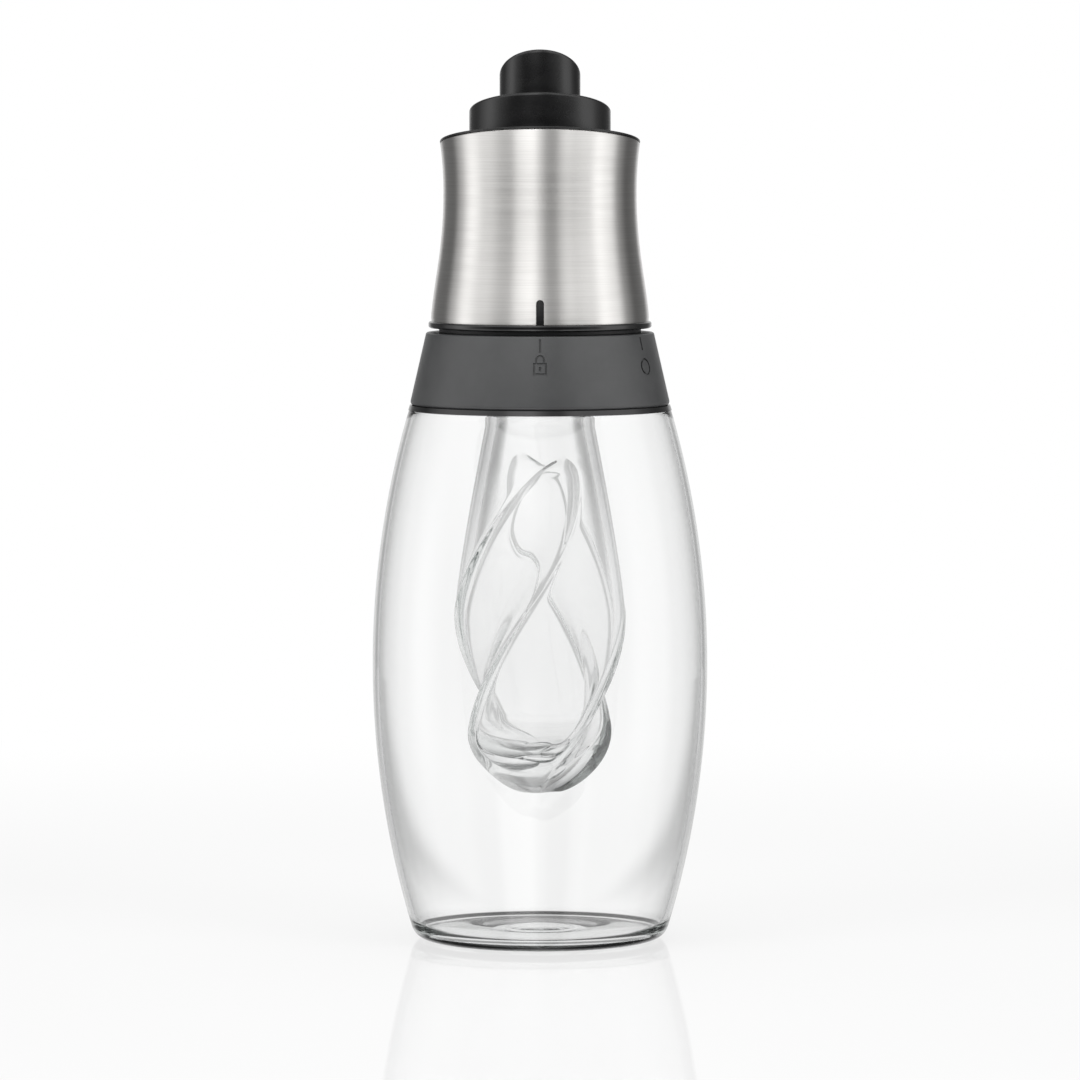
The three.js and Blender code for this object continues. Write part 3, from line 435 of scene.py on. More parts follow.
def place(obj, body, slot, *nodes):
    """Puts a piece on its body and in place of its nodes."""
    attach(obj, body)
    if nodes:
        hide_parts(*nodes)


# Materials

def set_inputs(tree, node, inputs):
    """Sets a node's inputs to values, or links them to sockets."""
    for key, value in inputs.items():
        if isinstance(value, bpy.types.NodeSocket):
            tree.links.new(value, node.inputs[key])
        else:
            node.inputs[key].default_value = value


def add(tree, kind, inputs=None, **settings):
    """A node with its settings, and with its inputs set or linked."""
    made = tree.nodes.new(kind)
    for key, value in settings.items():
        setattr(made, key, value)
    set_inputs(tree, made, inputs or {})
    return made


def maths(tree, operation, *values):
    return add(tree, "ShaderNodeMath", dict(enumerate(values)), operation=operation).outputs["Value"]


def length(tree, vector):
    return add(tree, "ShaderNodeVectorMath", {0: vector}, operation="LENGTH").outputs["Value"]


def mix(tree, factor, a, b, blend="MIX"):
    """Two colours mixed or multiplied."""
    made = add(tree, "ShaderNodeMix", {"Factor": factor, "A": a, "B": b}, data_type="RGBA", blend_type=blend)
    return made.outputs["Result"]


def ranged(tree, value, start, end, low=0.0, high=1.0, kind="LINEAR"):
    """Brings a value from start..end to low..high, and keeps it there."""
    made = add(tree, "ShaderNodeMapRange", {"Value": value, "From Min": start, "From Max": end,
                                            "To Min": low, "To Max": high}, interpolation_type=kind)
    return made.outputs["Result"]


def ramp(tree, factor, stops, interpolation="EASE"):
    """A grey or coloured ramp through (place, level or colour) stops."""
    made = add(tree, "ShaderNodeValToRGB", {"Fac": factor})
    elements = made.color_ramp.elements
    made.color_ramp.interpolation = interpolation
    while len(elements) < len(stops):
        elements.new(0.5)
    for element, (position, level) in zip(elements, stops):
        element.position = position
        colour = level if isinstance(level, tuple) else (level,) * 3
        element.color = (*colour, 1.0)
    return made.outputs["Color"]


def noise(tree, scale, detail=3.0, roughness=0.55):
    """Noise over the object's own coordinates; scale is cells in a metre, along X, Y and Z."""
    place_in = add(tree, "ShaderNodeTexCoord").outputs["Object"]
    scaled = add(tree, "ShaderNodeMapping", {"Vector": place_in, "Scale": scale})
    made = add(tree, "ShaderNodeTexNoise", {"Vector": scaled.outputs["Vector"], "Scale": 1.0,
                                            "Detail": detail, "Roughness": roughness})
    return made.outputs["Fac"]


def spread(tree, factor, low, high):
    """Brings a noise's middle range to low..high."""
    return ranged(tree, factor, *NOISE_MIDDLE, low, high)


def bump(tree, height, strength, distance):
    made = add(tree, "ShaderNodeBump", {"Height": height, "Strength": strength, "Distance": distance})
    return made.outputs["Normal"]


def bare_material(name):
    """A new material and its empty tree."""
    material = bpy.data.materials.new(name)
    material.use_nodes = True
    material.node_tree.nodes.clear()
    return material, material.node_tree


def principled(name):
    """A new material, its tree and its Principled shader."""
    material, tree = bare_material(name)
    shader = add(tree, "ShaderNodeBsdfPrincipled")
    add(tree, "ShaderNodeOutputMaterial", {"Surface": shader.outputs["BSDF"]})
    return material, tree, shader


def glass(name, edge_shade_stops, neck_shade_stops, painted_band, wave, absorption):
    """Clear glass that greys over a long way through it, with the faint waves of a moulded surface.

    edge_shade_stops is its painted edge shade from face on to edge on, which changes to neck_shade_stops
    over NECK_FADE.
    band is painted shade round the outside at some heights, as (height, level) stops.
    """
    material, tree, shader = principled(name)
    inside = add(tree, "ShaderNodeVolumeAbsorption", {"Color": GLASS_TONE, "Density": absorption})
    tree.links.new(inside.outputs["Volume"], tree.nodes["Material Output"].inputs["Volume"])
    facing = add(tree, "ShaderNodeLayerWeight", {"Blend": 0.5}).outputs["Facing"]
    waves = noise(tree, GLASS_WAVES, detail=1.0)
    spot = add(tree, "ShaderNodeTexCoord").outputs["Object"]
    height = add(tree, "ShaderNodeSeparateXYZ", {"Vector": spot}).outputs["Z"]
    # painted shade: the glass greys towards its edges, in place of the dark surroundings it would show there
    lower, upper = ramp(tree, facing, edge_shade_stops), ramp(tree, facing, neck_shade_stops)
    painted_shade_tint = mix(tree, ranged(tree, height, *NECK_FADE), lower, upper)
    # painted shade: darker bands round the outside, at the heights of the heel
    if painted_band:
        flat = add(tree, "ShaderNodeVectorMath", {0: spot, 1: (1.0, 1.0, 0.0)}, operation="MULTIPLY")
        radius = length(tree, flat.outputs["Vector"])
        low, high = painted_band[0][0], painted_band[-1][0]
        stops = [((z - low) / (high - low), level) for z, level in painted_band]
        painted_shade_levels = ramp(tree, ranged(tree, height, low, high), stops)
        painted_shade_tint = mix(tree, ranged(tree, radius, PAINTED_SHADE_R, PAINTED_SHADE_R + EASE), painted_shade_tint, painted_shade_levels, "MULTIPLY")
    set_inputs(tree, shader, {
        "Base Color": painted_shade_tint,
        "Roughness": 0.0,
        "IOR": 1.5,
        "Transmission Weight": 1.0,
        "Normal": bump(tree, waves, wave, GLASS_WAVE_DEPTH),
    })
    return material


def plastic(name, dark, light, roughness, grain, relief):
    """Moulded plastic: a little uneven in colour and gloss, with a fine grain."""
    material, tree, shader = principled(name)
    cloud = noise(tree, (160.0,) * 3)
    fine = noise(tree, (grain,) * 3, detail=2.0)
    set_inputs(tree, shader, {
        "Base Color": mix(tree, spread(tree, cloud, 0.0, 1.0), (*dark, 1.0), (*light, 1.0)),
        "Roughness": spread(tree, cloud, roughness - GLOSS_SPREAD, roughness + GLOSS_SPREAD),
        "Normal": bump(tree, fine, relief, GRAIN_DEPTH),
    })
    return material


def silicone():
    """Soft pale rubber that lets some light through."""
    material, tree, shader = principled("silicone")
    cloud = noise(tree, (300.0,) * 3)
    set_inputs(tree, shader, {
        "Base Color": ramp(tree, cloud, [(0.3, (0.70, 0.73, 0.72)), (0.7, (0.78, 0.81, 0.80))]),
        "Roughness": spread(tree, cloud, 0.42, 0.52),
        "Subsurface Weight": 0.3,
        "Subsurface Scale": 1.0 * MM,
        "Normal": bump(tree, noise(tree, (2500.0,) * 3), 0.1, GRAIN_DEPTH),
    })
    return material


def brushed_steel():
    """Steel brushed round its axis: long fine lines that draw each reflection out upwards."""
    material, tree, shader = principled("brushed_steel")
    lines = noise(tree, BRUSH_LINES, detail=3.0, roughness=0.6)
    broad = noise(tree, BRUSH_BANDS, detail=2.0)
    tangent = add(tree, "ShaderNodeTangent", direction_type="RADIAL", axis="Z")
    set_inputs(tree, shader, {
        "Base Color": ramp(tree, lines, [(0.3, (0.57, 0.56, 0.545)), (0.7, (0.67, 0.66, 0.645))], "LINEAR"),
        "Metallic": 1.0,
        "Roughness": spread(tree, broad, 0.29, 0.34),
        "Anisotropic": 0.95,
        "Anisotropic Rotation": 0.25,
        "Tangent": tangent.outputs["Tangent"],
        "Normal": bump(tree, lines, 0.12, BRUSH_DEPTH),
    })
    return material


def fastener_steel():
    material, tree, shader = principled("fastener_steel")
    cloud = noise(tree, (700.0,) * 3)
    set_inputs(tree, shader, {
        "Base Color": ramp(tree, cloud, [(0.3, (0.50, 0.51, 0.53)), (0.7, (0.60, 0.61, 0.63))]),
        "Metallic": 1.0,
        "Roughness": spread(tree, cloud, 0.22, 0.32),
        "Normal": bump(tree, cloud, 0.05, GRAIN_DEPTH),
    })
    return material


# Noise as cells in a metre along X, Y and Z, and depths of relief
NOISE_MIDDLE = (0.3, 0.7)
GLASS_WAVES = (55.0, 55.0, 28.0)
GLASS_WAVE_DEPTH = 0.4 * MM
BRUSH_LINES = (60.0, 60.0, 7000.0)
BRUSH_BANDS = (25.0, 25.0, 900.0)
BRUSH_DEPTH = 0.02 * MM
GRAIN_DEPTH = 0.05 * MM
GLOSS_SPREAD = 0.04

# Glass: painted shade from face on to edge on, and painted shade by height in the dark line round the heel
GLASS_TONE = (0.0, 0.08, 0.05, 1.0)
# Painted shade round the heel: a thin dark contact line at the foot, and a near-black line just above it
HEEL_PAINTED_SHADE = [(0.0 * MM, 0.15), (0.1 * MM, 0.15), (0.18 * MM, 1.0), (0.35 * MM, 1.0), (0.55 * MM, 0.003),
             (1.55 * MM, 0.003), (2.0 * MM, 1.0)]
PAINTED_SHADE_R = 24.3 * MM
BOTTLE_EDGE_SHADE = [(0.0, 0.99), (0.5, 0.97), (0.7, 0.85), (0.84, 0.6), (0.92, 0.25), (0.98, 0.08)]
VESSEL_EDGE_SHADE = [(0.0, 0.99), (0.5, 0.96), (0.7, 0.85), (0.85, 0.7), (0.95, 0.4)]
VESSEL_NECK_EDGE_SHADE = [(0.0, 0.99), (0.3, 0.96), (0.42, 0.55), (0.62, 0.3), (0.8, 0.3), (0.95, 0.15)]
NECK_FADE = (80.0 * MM, 104.0 * MM)

bottle_glass = glass("bottle_glass", BOTTLE_EDGE_SHADE, BOTTLE_EDGE_SHADE, HEEL_PAINTED_SHADE, wave=0.02, absorption=16.0)
vessel_glass = glass("vessel_glass", VESSEL_EDGE_SHADE, VESSEL_NECK_EDGE_SHADE, None, wave=0.05, absorption=5.0)
collar_plastic = plastic("collar_plastic", (0.046, 0.047, 0.048), (0.056, 0.057, 0.058),
                         roughness=0.4, grain=5000.0, relief=0.35)
spout_plastic = plastic("spout_plastic", (0.003, 0.003, 0.0032), (0.0045, 0.0045, 0.0048),
                        roughness=0.27, grain=4000.0, relief=0.12)
gloss_plastic = plastic("gloss_plastic", (0.006, 0.006, 0.0065), (0.008, 0.008, 0.0085),
                        roughness=0.16, grain=2500.0, relief=0.04)
inner_plastic = plastic("inner_plastic", (0.014, 0.014, 0.015), (0.019, 0.019, 0.02),
                        roughness=0.5, grain=3000.0, relief=0.2)
acetal = plastic("acetal", (0.76, 0.75, 0.69), (0.82, 0.81, 0.76),
                 roughness=0.4, grain=2000.0, relief=0.1)
soft_silicone = silicone()
sleeve_steel = brushed_steel()
screw_steel = fastener_steel()

# Heights and radii taken from the frame
rim_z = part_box("outer_bottle")[1].z
barrel_h = rim_z - NECK_H
belly_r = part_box("outer_bottle")[1].x
neck_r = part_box("rim_gasket")[1].x
vessel_low, vessel_high = (corner.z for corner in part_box("inner_vessel"))
collar_low, collar_high = (corner.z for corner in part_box("collar_shell"))
collar_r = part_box("collar_shell")[1].x
flange_top_z = collar_high - COLLAR_DECK_T
trim_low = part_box("trim_ring")[0].z
trim_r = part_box("trim_ring")[1].x
sleeve_low = trim_low + TRIM_T
sleeve_top = sleeve_low + SLEEVE_H
sleeve_waist_z = sleeve_low + SLEEVE_WAIST_Z
cap_top = sleeve_top + CAP_REVEAL
spout_base_top = cap_top + SPOUT_BASE_H
spout_base_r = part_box("spout_base")[1].x
spout_tip_top = spout_base_top + SPOUT_TIP_H
spout_tip_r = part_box("spout_tip")[1].x


# Bottle

barrel_arc_r = ((barrel_h - BELLY_Z) ** 2 + BARREL_BULGE ** 2) / (2 * BARREL_BULGE)
shoulder_top = barrel_h + SHOULDER_LIFT
shoulder_foot = shoulder_top - SHOULDER_FILLET


def barrel_r(z, inset=0.0):
    """The barrel's radius at a height, less a wall."""
    return belly_r - barrel_arc_r + math.sqrt((barrel_arc_r - inset) ** 2 - (z - BELLY_Z) ** 2)


def shoulder_turn():
    """The fillet from the barrel's side to its shoulder."""
    top_r = barrel_r(shoulder_top)
    return curve((barrel_r(shoulder_foot), shoulder_foot), (top_r, shoulder_top),
                 (top_r - SHOULDER_FILLET, shoulder_top), steps=FILLET_STEPS)


def bottle():
    """Barrel, shoulder and neck in one wall, over a base with a stepped punt."""
    def stretch(low, high, inset):
        return [(barrel_r(z, inset), z) for z in spaced(low, high, 3 * CURVE_STEPS)[:-1]]

    bore_r = neck_r - NECK_WALL
    rise_top = shoulder_top + SHOULDER_RISE
    inner_top = rise_top - SHOULDER_T
    inner_turn = shoulder_top - SHOULDER_T
    inner_turn_r = barrel_r(inner_turn, BOTTLE_WALL)
    inner_foot = BASE_T + BASE_CORNER
    floor_r = barrel_r(BASE_T, BOTTLE_WALL)
    foot_r = barrel_r(0.0)
    punt = curve((0.0, PUNT_DEPTH), (PUNT_TURN_R, PUNT_DEPTH), (PUNT_RING_R, PUNT_STEP), steps=FILLET_STEPS)
    punt += curve((PUNT_RING_R, PUNT_STEP), (PUNT_STEP_R, PUNT_STEP), (PUNT_R, 0.0), steps=FILLET_STEPS)
    punt += [(PUNT_R, 0.0)]
    outline = list(punt)
    outline += curve((foot_r - FOOT_FILLET, 0.0), (foot_r, 0.0), (barrel_r(FOOT_FILLET), FOOT_FILLET))
    outline += stretch(FOOT_FILLET, shoulder_foot, 0.0)
    outline += shoulder_turn()
    outline += curve((neck_r + SHOULDER_RISE_R, shoulder_top), (neck_r, shoulder_top), (neck_r, rise_top),
                     steps=FILLET_STEPS)
    outline += curve((neck_r, rim_z - RIM_FILLET), (neck_r, rim_z), (neck_r - RIM_FILLET, rim_z))
    outline += curve((bore_r + RIM_FILLET, rim_z), (bore_r, rim_z), (bore_r, rim_z - RIM_FILLET))
    outline += curve((bore_r, inner_top), (inner_turn_r, inner_top), (inner_turn_r, inner_turn))
    outline += stretch(inner_turn, inner_foot, BOTTLE_WALL)
    outline += curve((barrel_r(inner_foot, BOTTLE_WALL), inner_foot), (floor_r, BASE_T),
                     (floor_r - BASE_CORNER, BASE_T))
    outline += [(floor_r - BASE_CORNER, BASE_T)]
    outline += [(r, BASE_T + z) for r, z in reversed(punt)]
    return turned("bottle", outline, bottle_glass)


# Vessel

def scoop_depth(z):
    return max(0.0, vessel_high - SCOOP_TOP_DROP - z)


def scoop_middle(z):
    depth = scoop_depth(z)
    return SCOOP_START - SCOOP_TWIST * depth - SCOOP_TWIST_GAIN * depth ** 2


def scoop_half_width(z):
    return SCOOP_HALF_WIDTH * math.sqrt(1 - math.exp(-scoop_depth(z) / SCOOP_OPENING_L))


def soft_least(a, b, rounding):
    """The lesser of two lengths, with the corner between them rounded off."""
    share = min(1.0, max(0.0, 0.5 + 0.5 * (b - a) / rounding))
    return b + (a - b) * share - rounding * share * (1 - share)


def vessel_columns(half_width):
    """Angles from the first scoop's middle, closer together towards the ridges."""
    reach = max(half_width, LEAST_SCOOP_SPREAD)
    pitch = 360 / SCOOP_COUNT
    columns = []
    for scoop in range(SCOOP_COUNT):
        for count, middle, half in ((SCOOP_COLUMNS, 0, reach), (LOBE_COLUMNS, pitch / 2, pitch / 2 - reach)):
            for i in range(count):
                offset = middle + half * math.sin(math.pi * (i / count - 0.5))
                columns.append(scoop * pitch + offset)
    return columns


def scooped(radius, offset, half_width, rounding):
    """How far a section reaches at an angle from a scoop's middle: hollowed there, round beside it."""
    width = math.radians(half_width)
    if width == 0 or math.cos(offset) < LEAST_CHORD_COSINE:
        return radius
    chord = radius * math.cos(width) / math.cos(offset)
    if abs(offset) < width:
        depth = SCOOP_HOLLOW * half_width / SCOOP_HALF_WIDTH * radius / VESSEL_BELLY_R
        chord -= depth * (1 - (offset / width) ** 2)
    return soft_least(radius, chord, rounding)


def vessel_ring(radius, z, outer_r, rounding, wall):
    """One ring of the vessel's surface; its shape is that of the outside at outer_r, less a wall."""
    half_width = scoop_half_width(z + CAVITY_DELAY if wall else z)
    pitch = 360 / SCOOP_COUNT
    fullness = min(1.0, half_width / LEAST_SCOOP_SPREAD) * min(1.0, outer_r / VESSEL_HIP_R)
    rounding = max(rounding * fullness, LEAST_ROUNDING)
    bead = BEAD_H * fullness * (BEAD_LEAST + (1 - BEAD_LEAST) * half_width / SCOOP_HALF_WIDTH)
    points = []
    for turn in vessel_columns(half_width):
        offset = math.radians((turn + pitch / 2) % pitch - pitch / 2)
        reach = scooped(outer_r, offset, half_width, rounding)
        if not wall:
            beside = (abs(offset) - math.radians(half_width)) * outer_r
            reach += bead * math.exp(-(beside / BEAD_HALF_W) ** 2)
        share = (reach - wall) / (outer_r - wall)
        points.append((*polar(radius * share, math.radians(scoop_middle(z) + turn)), z))
    return points


def vessel():
    """The twisted outside over a dimpled foot, a rounded rim and a cavity that follows the outside."""
    belly_z = vessel_low + VESSEL_BELLY_Z
    hip_z = vessel_low + VESSEL_HIP_Z
    neck_z = vessel_high - VESSEL_NECK_L
    bore_r = VESSEL_NECK_R - VESSEL_NECK_WALL
    dimple_z = vessel_low + VESSEL_DIMPLE_H
    foot = curve((0.0, dimple_z), (VESSEL_DIMPLE_TURN_R, dimple_z), (VESSEL_FOOT_R, vessel_low))[1:]
    turn, rise = ((r, vessel_low + z) for r, z in (VESSEL_FOOT_TURN, VESSEL_FOOT_SIDE))
    foot += curve((VESSEL_FOOT_R, vessel_low), turn, rise, (VESSEL_HIP_R, hip_z))
    side = curve((VESSEL_HIP_R, hip_z), (VESSEL_BELLY_R, hip_z + VESSEL_HIP_RUN),
                 (VESSEL_BELLY_R, belly_z), steps=2 * CURVE_STEPS)
    side += curve((VESSEL_BELLY_R, belly_z), (VESSEL_BELLY_R, belly_z + VESSEL_SHOULDER_RUN),
                  (VESSEL_NECK_R, neck_z), steps=3 * CURVE_STEPS)
    rim = rounded([(VESSEL_NECK_R, neck_z, 0.0), (VESSEL_NECK_R, vessel_high, VESSEL_RIM_FILLET),
                   (bore_r, vessel_high, VESSEL_RIM_FILLET), (bore_r, neck_z, 0.0)])
    rings = [[(0.0, 0.0, dimple_z)]]
    rings += [vessel_ring(r, z, r, RIDGE_ROUNDING, 0.0) for r, z in foot + side + rim]
    floor_z = vessel_low + VESSEL_FLOOR_T
    turn_z = floor_z + VESSEL_FLOOR_TURN
    lower = (VESSEL_HIP_R, hip_z)
    for r, z in reversed(side):
        if z > turn_z:
            share = min(1.0, (neck_z - z) / (neck_z - belly_z))
            wall = VESSEL_NECK_WALL + (VESSEL_WALL - VESSEL_NECK_WALL) * share
            rings.append(vessel_ring(r - wall, z, r, CAVITY_ROUNDING, wall))
            lower = (r, z)
    turn_r = lower[0] - VESSEL_WALL
    for r, z in curve((turn_r, lower[1]), (turn_r, floor_z), (0.0, floor_z))[1:]:
        rings.append(vessel_ring(r, z, lower[0], CAVITY_ROUNDING, VESSEL_WALL))
    rings.append([(0.0, 0.0, floor_z)])
    return lofted("vessel", rings, vessel_glass, closed=False, sharp=None)


# Collar

collar_lean = math.atan((collar_r - COLLAR_TOP_R) / (collar_high - collar_low - COLLAR_ROLL))


def on_cone(u, v, lift, drop, degrees):
    """A point beside and above a mark's middle, which lies at a drop below the collar's top."""
    middle_r = COLLAR_TOP_R + drop * math.tan(collar_lean)
    radius = middle_r - v * math.sin(collar_lean) + lift * math.cos(collar_lean)
    height = collar_high - drop + v * math.cos(collar_lean) + lift * math.sin(collar_lean)
    return (*polar(radius, math.radians(degrees) + u / middle_r), height)


def band_cutter(left, right, closed, drop, degrees):
    """The solid between two lines of (u, v) points, from the mark's floor to clear of the collar."""
    rings = []
    for near, far in zip(left, right):
        rings.append([on_cone(u, v, lift, drop, degrees) for (u, v), lift in
                      ((near, -MARK_DEPTH), (far, -MARK_DEPTH), (far, CUT_MARGIN), (near, CUT_MARGIN))])
    return lofted("cutter", rings, None, closed, sharp=None, capped=not closed)


def arc(radius, start, end, middle_v=0.0):
    """Points round a circle, from one angle in degrees to another."""
    angles = (math.radians(degrees) for degrees in spaced(start, end, MARK_ARC_STEPS))
    return [(radius * math.cos(angle), middle_v + radius * math.sin(angle)) for angle in angles]


def frame_line(width, height):
    return [(u * width / 2, v * height / 2) for u, v in SQUARE]


def stroke(width, low, high):
    """The two sides of an upright line."""
    return [(-width / 2, low), (-width / 2, high)], [(width / 2, low), (width / 2, high)]


def mark_bands():
    """Each mark's bands as (left line, right line, closed, drop, position round the collar)."""
    bands = [(*stroke(MARK_LINE, -TICK_L, 0.0), False, TICK_TOP, position) for position in range(3)]
    bands.append((frame_line(LOCK_W, LOCK_H), frame_line(LOCK_W - 2 * MARK_LINE, LOCK_H - 2 * MARK_LINE),
                  True, MARK_DROP, 0))
    leg_low = (LOCK_H - MARK_LINE) / 2
    leg_top = LOCK_H / 2 + SHACKLE_LEG
    legs = ([(r, leg_low), *arc(r, 0, 180, leg_top), (-r, leg_low)]
            for r in (SHACKLE_R, SHACKLE_R - MARK_LINE))
    bands.append((*legs, False, MARK_DROP, 0))
    bands.append((*stroke(KEYHOLE_W, -KEYHOLE_H / 2, KEYHOLE_H / 2), False, MARK_DROP, 0))
    bands.append((arc(RING_R, 0, 360)[:-1], arc(RING_R - MARK_LINE, 0, 360)[:-1], True, MARK_DROP, 1))
    half_w, half_h = CHEVRON_W / 2, CHEVRON_H / 2
    inner_tip = MARK_LINE * CHEVRON_H / half_w - half_h
    bands.append(([(-half_w, half_h), (0.0, -half_h), (half_w, half_h)],
                  [(MARK_LINE - half_w, half_h), (0.0, inner_tip), (half_w - MARK_LINE, half_h)],
                  False, MARK_DROP, 2))
    return bands


def collar():
    """The cone with its rolled foot and eased top edge, and the marks sunk into it."""
    foot_z = collar_low + COLLAR_FOOT_LIFT
    foot_r = collar_r + (COLLAR_ROLL - COLLAR_FOOT_LIFT) * math.tan(collar_lean)
    outline = rounded([
        (COLLAR_LIP_R, foot_z, EASE),
        (foot_r, foot_z, COLLAR_ROLL),
        (COLLAR_TOP_R, collar_high, COLLAR_EDGE),
        (COLLAR_WELL_R, collar_high, EASE),
        (COLLAR_WELL_R, flange_top_z, 0.0),
        (COLLAR_BORE_R, flange_top_z, EASE),
        (COLLAR_BORE_R, flange_top_z - COLLAR_BORE_H, EASE),
    ])
    cutters = [band_cutter(*lines, position * MARK_STEP) for *lines, position in mark_bands()]
    return combine(turned("collar", outline, collar_plastic), cutters, "DIFFERENCE")


def painted_shade_lip():
    """A soft lip under the collar's foot, which fills the corner over the bottle's shoulder: a dark piece
    put in as painted shade for the dark band under the collar.
    """
    inner = [(r + LIP_GAP, z + LIP_GAP) for r, z in shoulder_turn() if z > shoulder_top - LIP_DROP]
    low, top = inner[0][1], collar_low + COLLAR_FOOT_LIFT + LIP_GAP
    outline = [(barrel_r(z) + LIP_PROUD, z) for z in spaced(low, top, FILLET_STEPS)]
    outline += [(inner[-1][0], top)] + inner[::-1]
    return turned("painted_shade_lip", outline, gloss_plastic)


# Plug and seals

def plug():
    """The cup that closes the neck, with seal grooves, the vessel's socket and the valve's ports."""
    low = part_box("neck_plug")[0].z + BOSS_L - SOCKET_L + PLUG_FOOT_RISE
    well_floor = flange_top_z - WELL_DEPTH
    deck = well_floor - PLUG_DECK_T
    flange_low = flange_top_z - PLUG_FLANGE_T
    flange_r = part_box("neck_plug")[1].x
    boss_low = deck - BOSS_L
    groove_r = PLUG_R - GROOVE_DEPTH
    corners = [(0.0, boss_low, 0.0), (BOSS_R, boss_low, PLUG_EDGE), (BOSS_R, deck, PLUG_EDGE),
               (SOCKET_R - SOCKET_WALL, deck, 0.0), (SOCKET_R - SOCKET_WALL, deck - SOCKET_L, 0.0),
               (SOCKET_R, deck - SOCKET_L, 0.0), (SOCKET_R, deck, PLUG_EDGE),
               (COLLAR_WELL_R, deck, PLUG_EDGE), (COLLAR_WELL_R, low, PLUG_EDGE), (PLUG_R, low, PLUG_EDGE)]
    for seal in ("lower_neck_seal", "upper_neck_seal"):
        groove_low, groove_high = (corner.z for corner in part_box(seal))
        corners += [(PLUG_R, groove_low, 0.0), (groove_r, groove_low, 0.0),
                    (groove_r, groove_high, 0.0), (PLUG_R, groove_high, 0.0)]
    corners += [(PLUG_R, flange_low, 0.0), (flange_r, flange_low, EASE),
                (flange_r, flange_top_z, EASE), (COLLAR_WELL_R, flange_top_z, EASE),
                (COLLAR_WELL_R, well_floor, 0.0), (SCREW_HOLE_R, well_floor, 0.0),
                (SCREW_HOLE_R, boss_low + BOSS_FLOOR_T, 0.0), (0.0, boss_low + BOSS_FLOOR_T, 0.0)]
    obj = turned("plug", rounded(corners), inner_plastic, segments=SMALL_SEGMENTS)
    ports = []
    sizes = ((OIL_PORT_PITCH_R, OIL_PORT_R, 1), (VINEGAR_PORT_PITCH_R, VINEGAR_PORT_R, 2))
    for pitch_r, radius, position in sizes:
        for degrees in (position * MARK_STEP, position * MARK_STEP + 180):
            ports.append(cylinder(pitch_r, degrees, radius, deck - CUT_MARGIN, well_floor + CUT_MARGIN))
    return combine(obj, ports, "DIFFERENCE")


def plain_ring(name, node, bore_r, outer_edge, material=soft_silicone, segments=SMALL_SEGMENTS):
    """A ring in a node's place, with its outer corners rounded."""
    low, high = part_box(node)
    corners = ring_section(bore_r, low.z, high.x, high.z, EASE, outer_edge)
    return turned(name, rounded(corners), material, segments=segments)


def vessel_seal():
    """A sleeve round the vessel's neck that turns in over its rim."""
    low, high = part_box("vessel_seal")
    bore_r = VESSEL_NECK_R + SEAL_BORE_GAP
    inner_r = VESSEL_NECK_R - VESSEL_NECK_WALL
    corners = [(bore_r, low.z, EASE), (high.x, low.z, EASE), (high.x, high.z, EASE),
               (inner_r, high.z, EASE), (inner_r, high.z - VESSEL_SEAL_T, EASE),
               (bore_r, high.z - VESSEL_SEAL_T, 0.0)]
    return turned("vessel_gasket", rounded(corners), soft_silicone, segments=SMALL_SEGMENTS)


# Steel sleeve, trim ring and pointer

def sleeve_lower(inset):
    """The S-shaped rise from the sleeve's foot to its waist."""
    foot_r, waist_r = SLEEVE_R - inset, SLEEVE_WAIST_R - inset
    return curve((foot_r, sleeve_low), (foot_r - SLEEVE_FOOT_LEAN, sleeve_low + SLEEVE_FOOT_RISE),
                 (waist_r, sleeve_waist_z - SLEEVE_WAIST_RUN), (waist_r, sleeve_waist_z))


def sleeve_upper(inset, top):
    """The slight flare from the waist to the top."""
    return [(flare_radius(z) - inset, z) for z in spaced(sleeve_waist_z, top, CURVE_STEPS)]


def sleeve_radius(z):
    """The steel's outside radius from its foot to its waist."""
    z = max(z, sleeve_low)
    points = sleeve_lower(0.0)
    for (low_r, low), (high_r, high) in zip(points, points[1:]):
        if z <= high:
            return low_r + (high_r - low_r) * (z - low) / (high - low)
    return SLEEVE_WAIST_R


def pointer_slip(gap, low, inner_r, outer_r):
    """The upright slip with a round top that the pointer fills and the steel leaves free.

    inner_r and outer_r give the radius of its back and its front at a height.
    """
    half = POINTER_W / 2 + gap
    round_z = sleeve_low + POINTER_H - POINTER_W / 2
    rows = [(z, half) for z in spaced(low, round_z, CURVE_STEPS)[:-1]]
    for angle in spaced(0.0, math.pi / 2, FILLET_STEPS * 2)[:-1]:
        rows.append((round_z + half * math.sin(angle), half * math.cos(angle)))
    rings = []
    for z, across in rows:
        back, front = inner_r(z), outer_r(z)
        rings.append([(x, -math.sqrt(r * r - x * x), z) for x, r in
                      ((-across, back), (-across, front), (0.0, front), (across, front), (across, back))])
    return lofted("slip", rings, None, closed=False, capped=True)


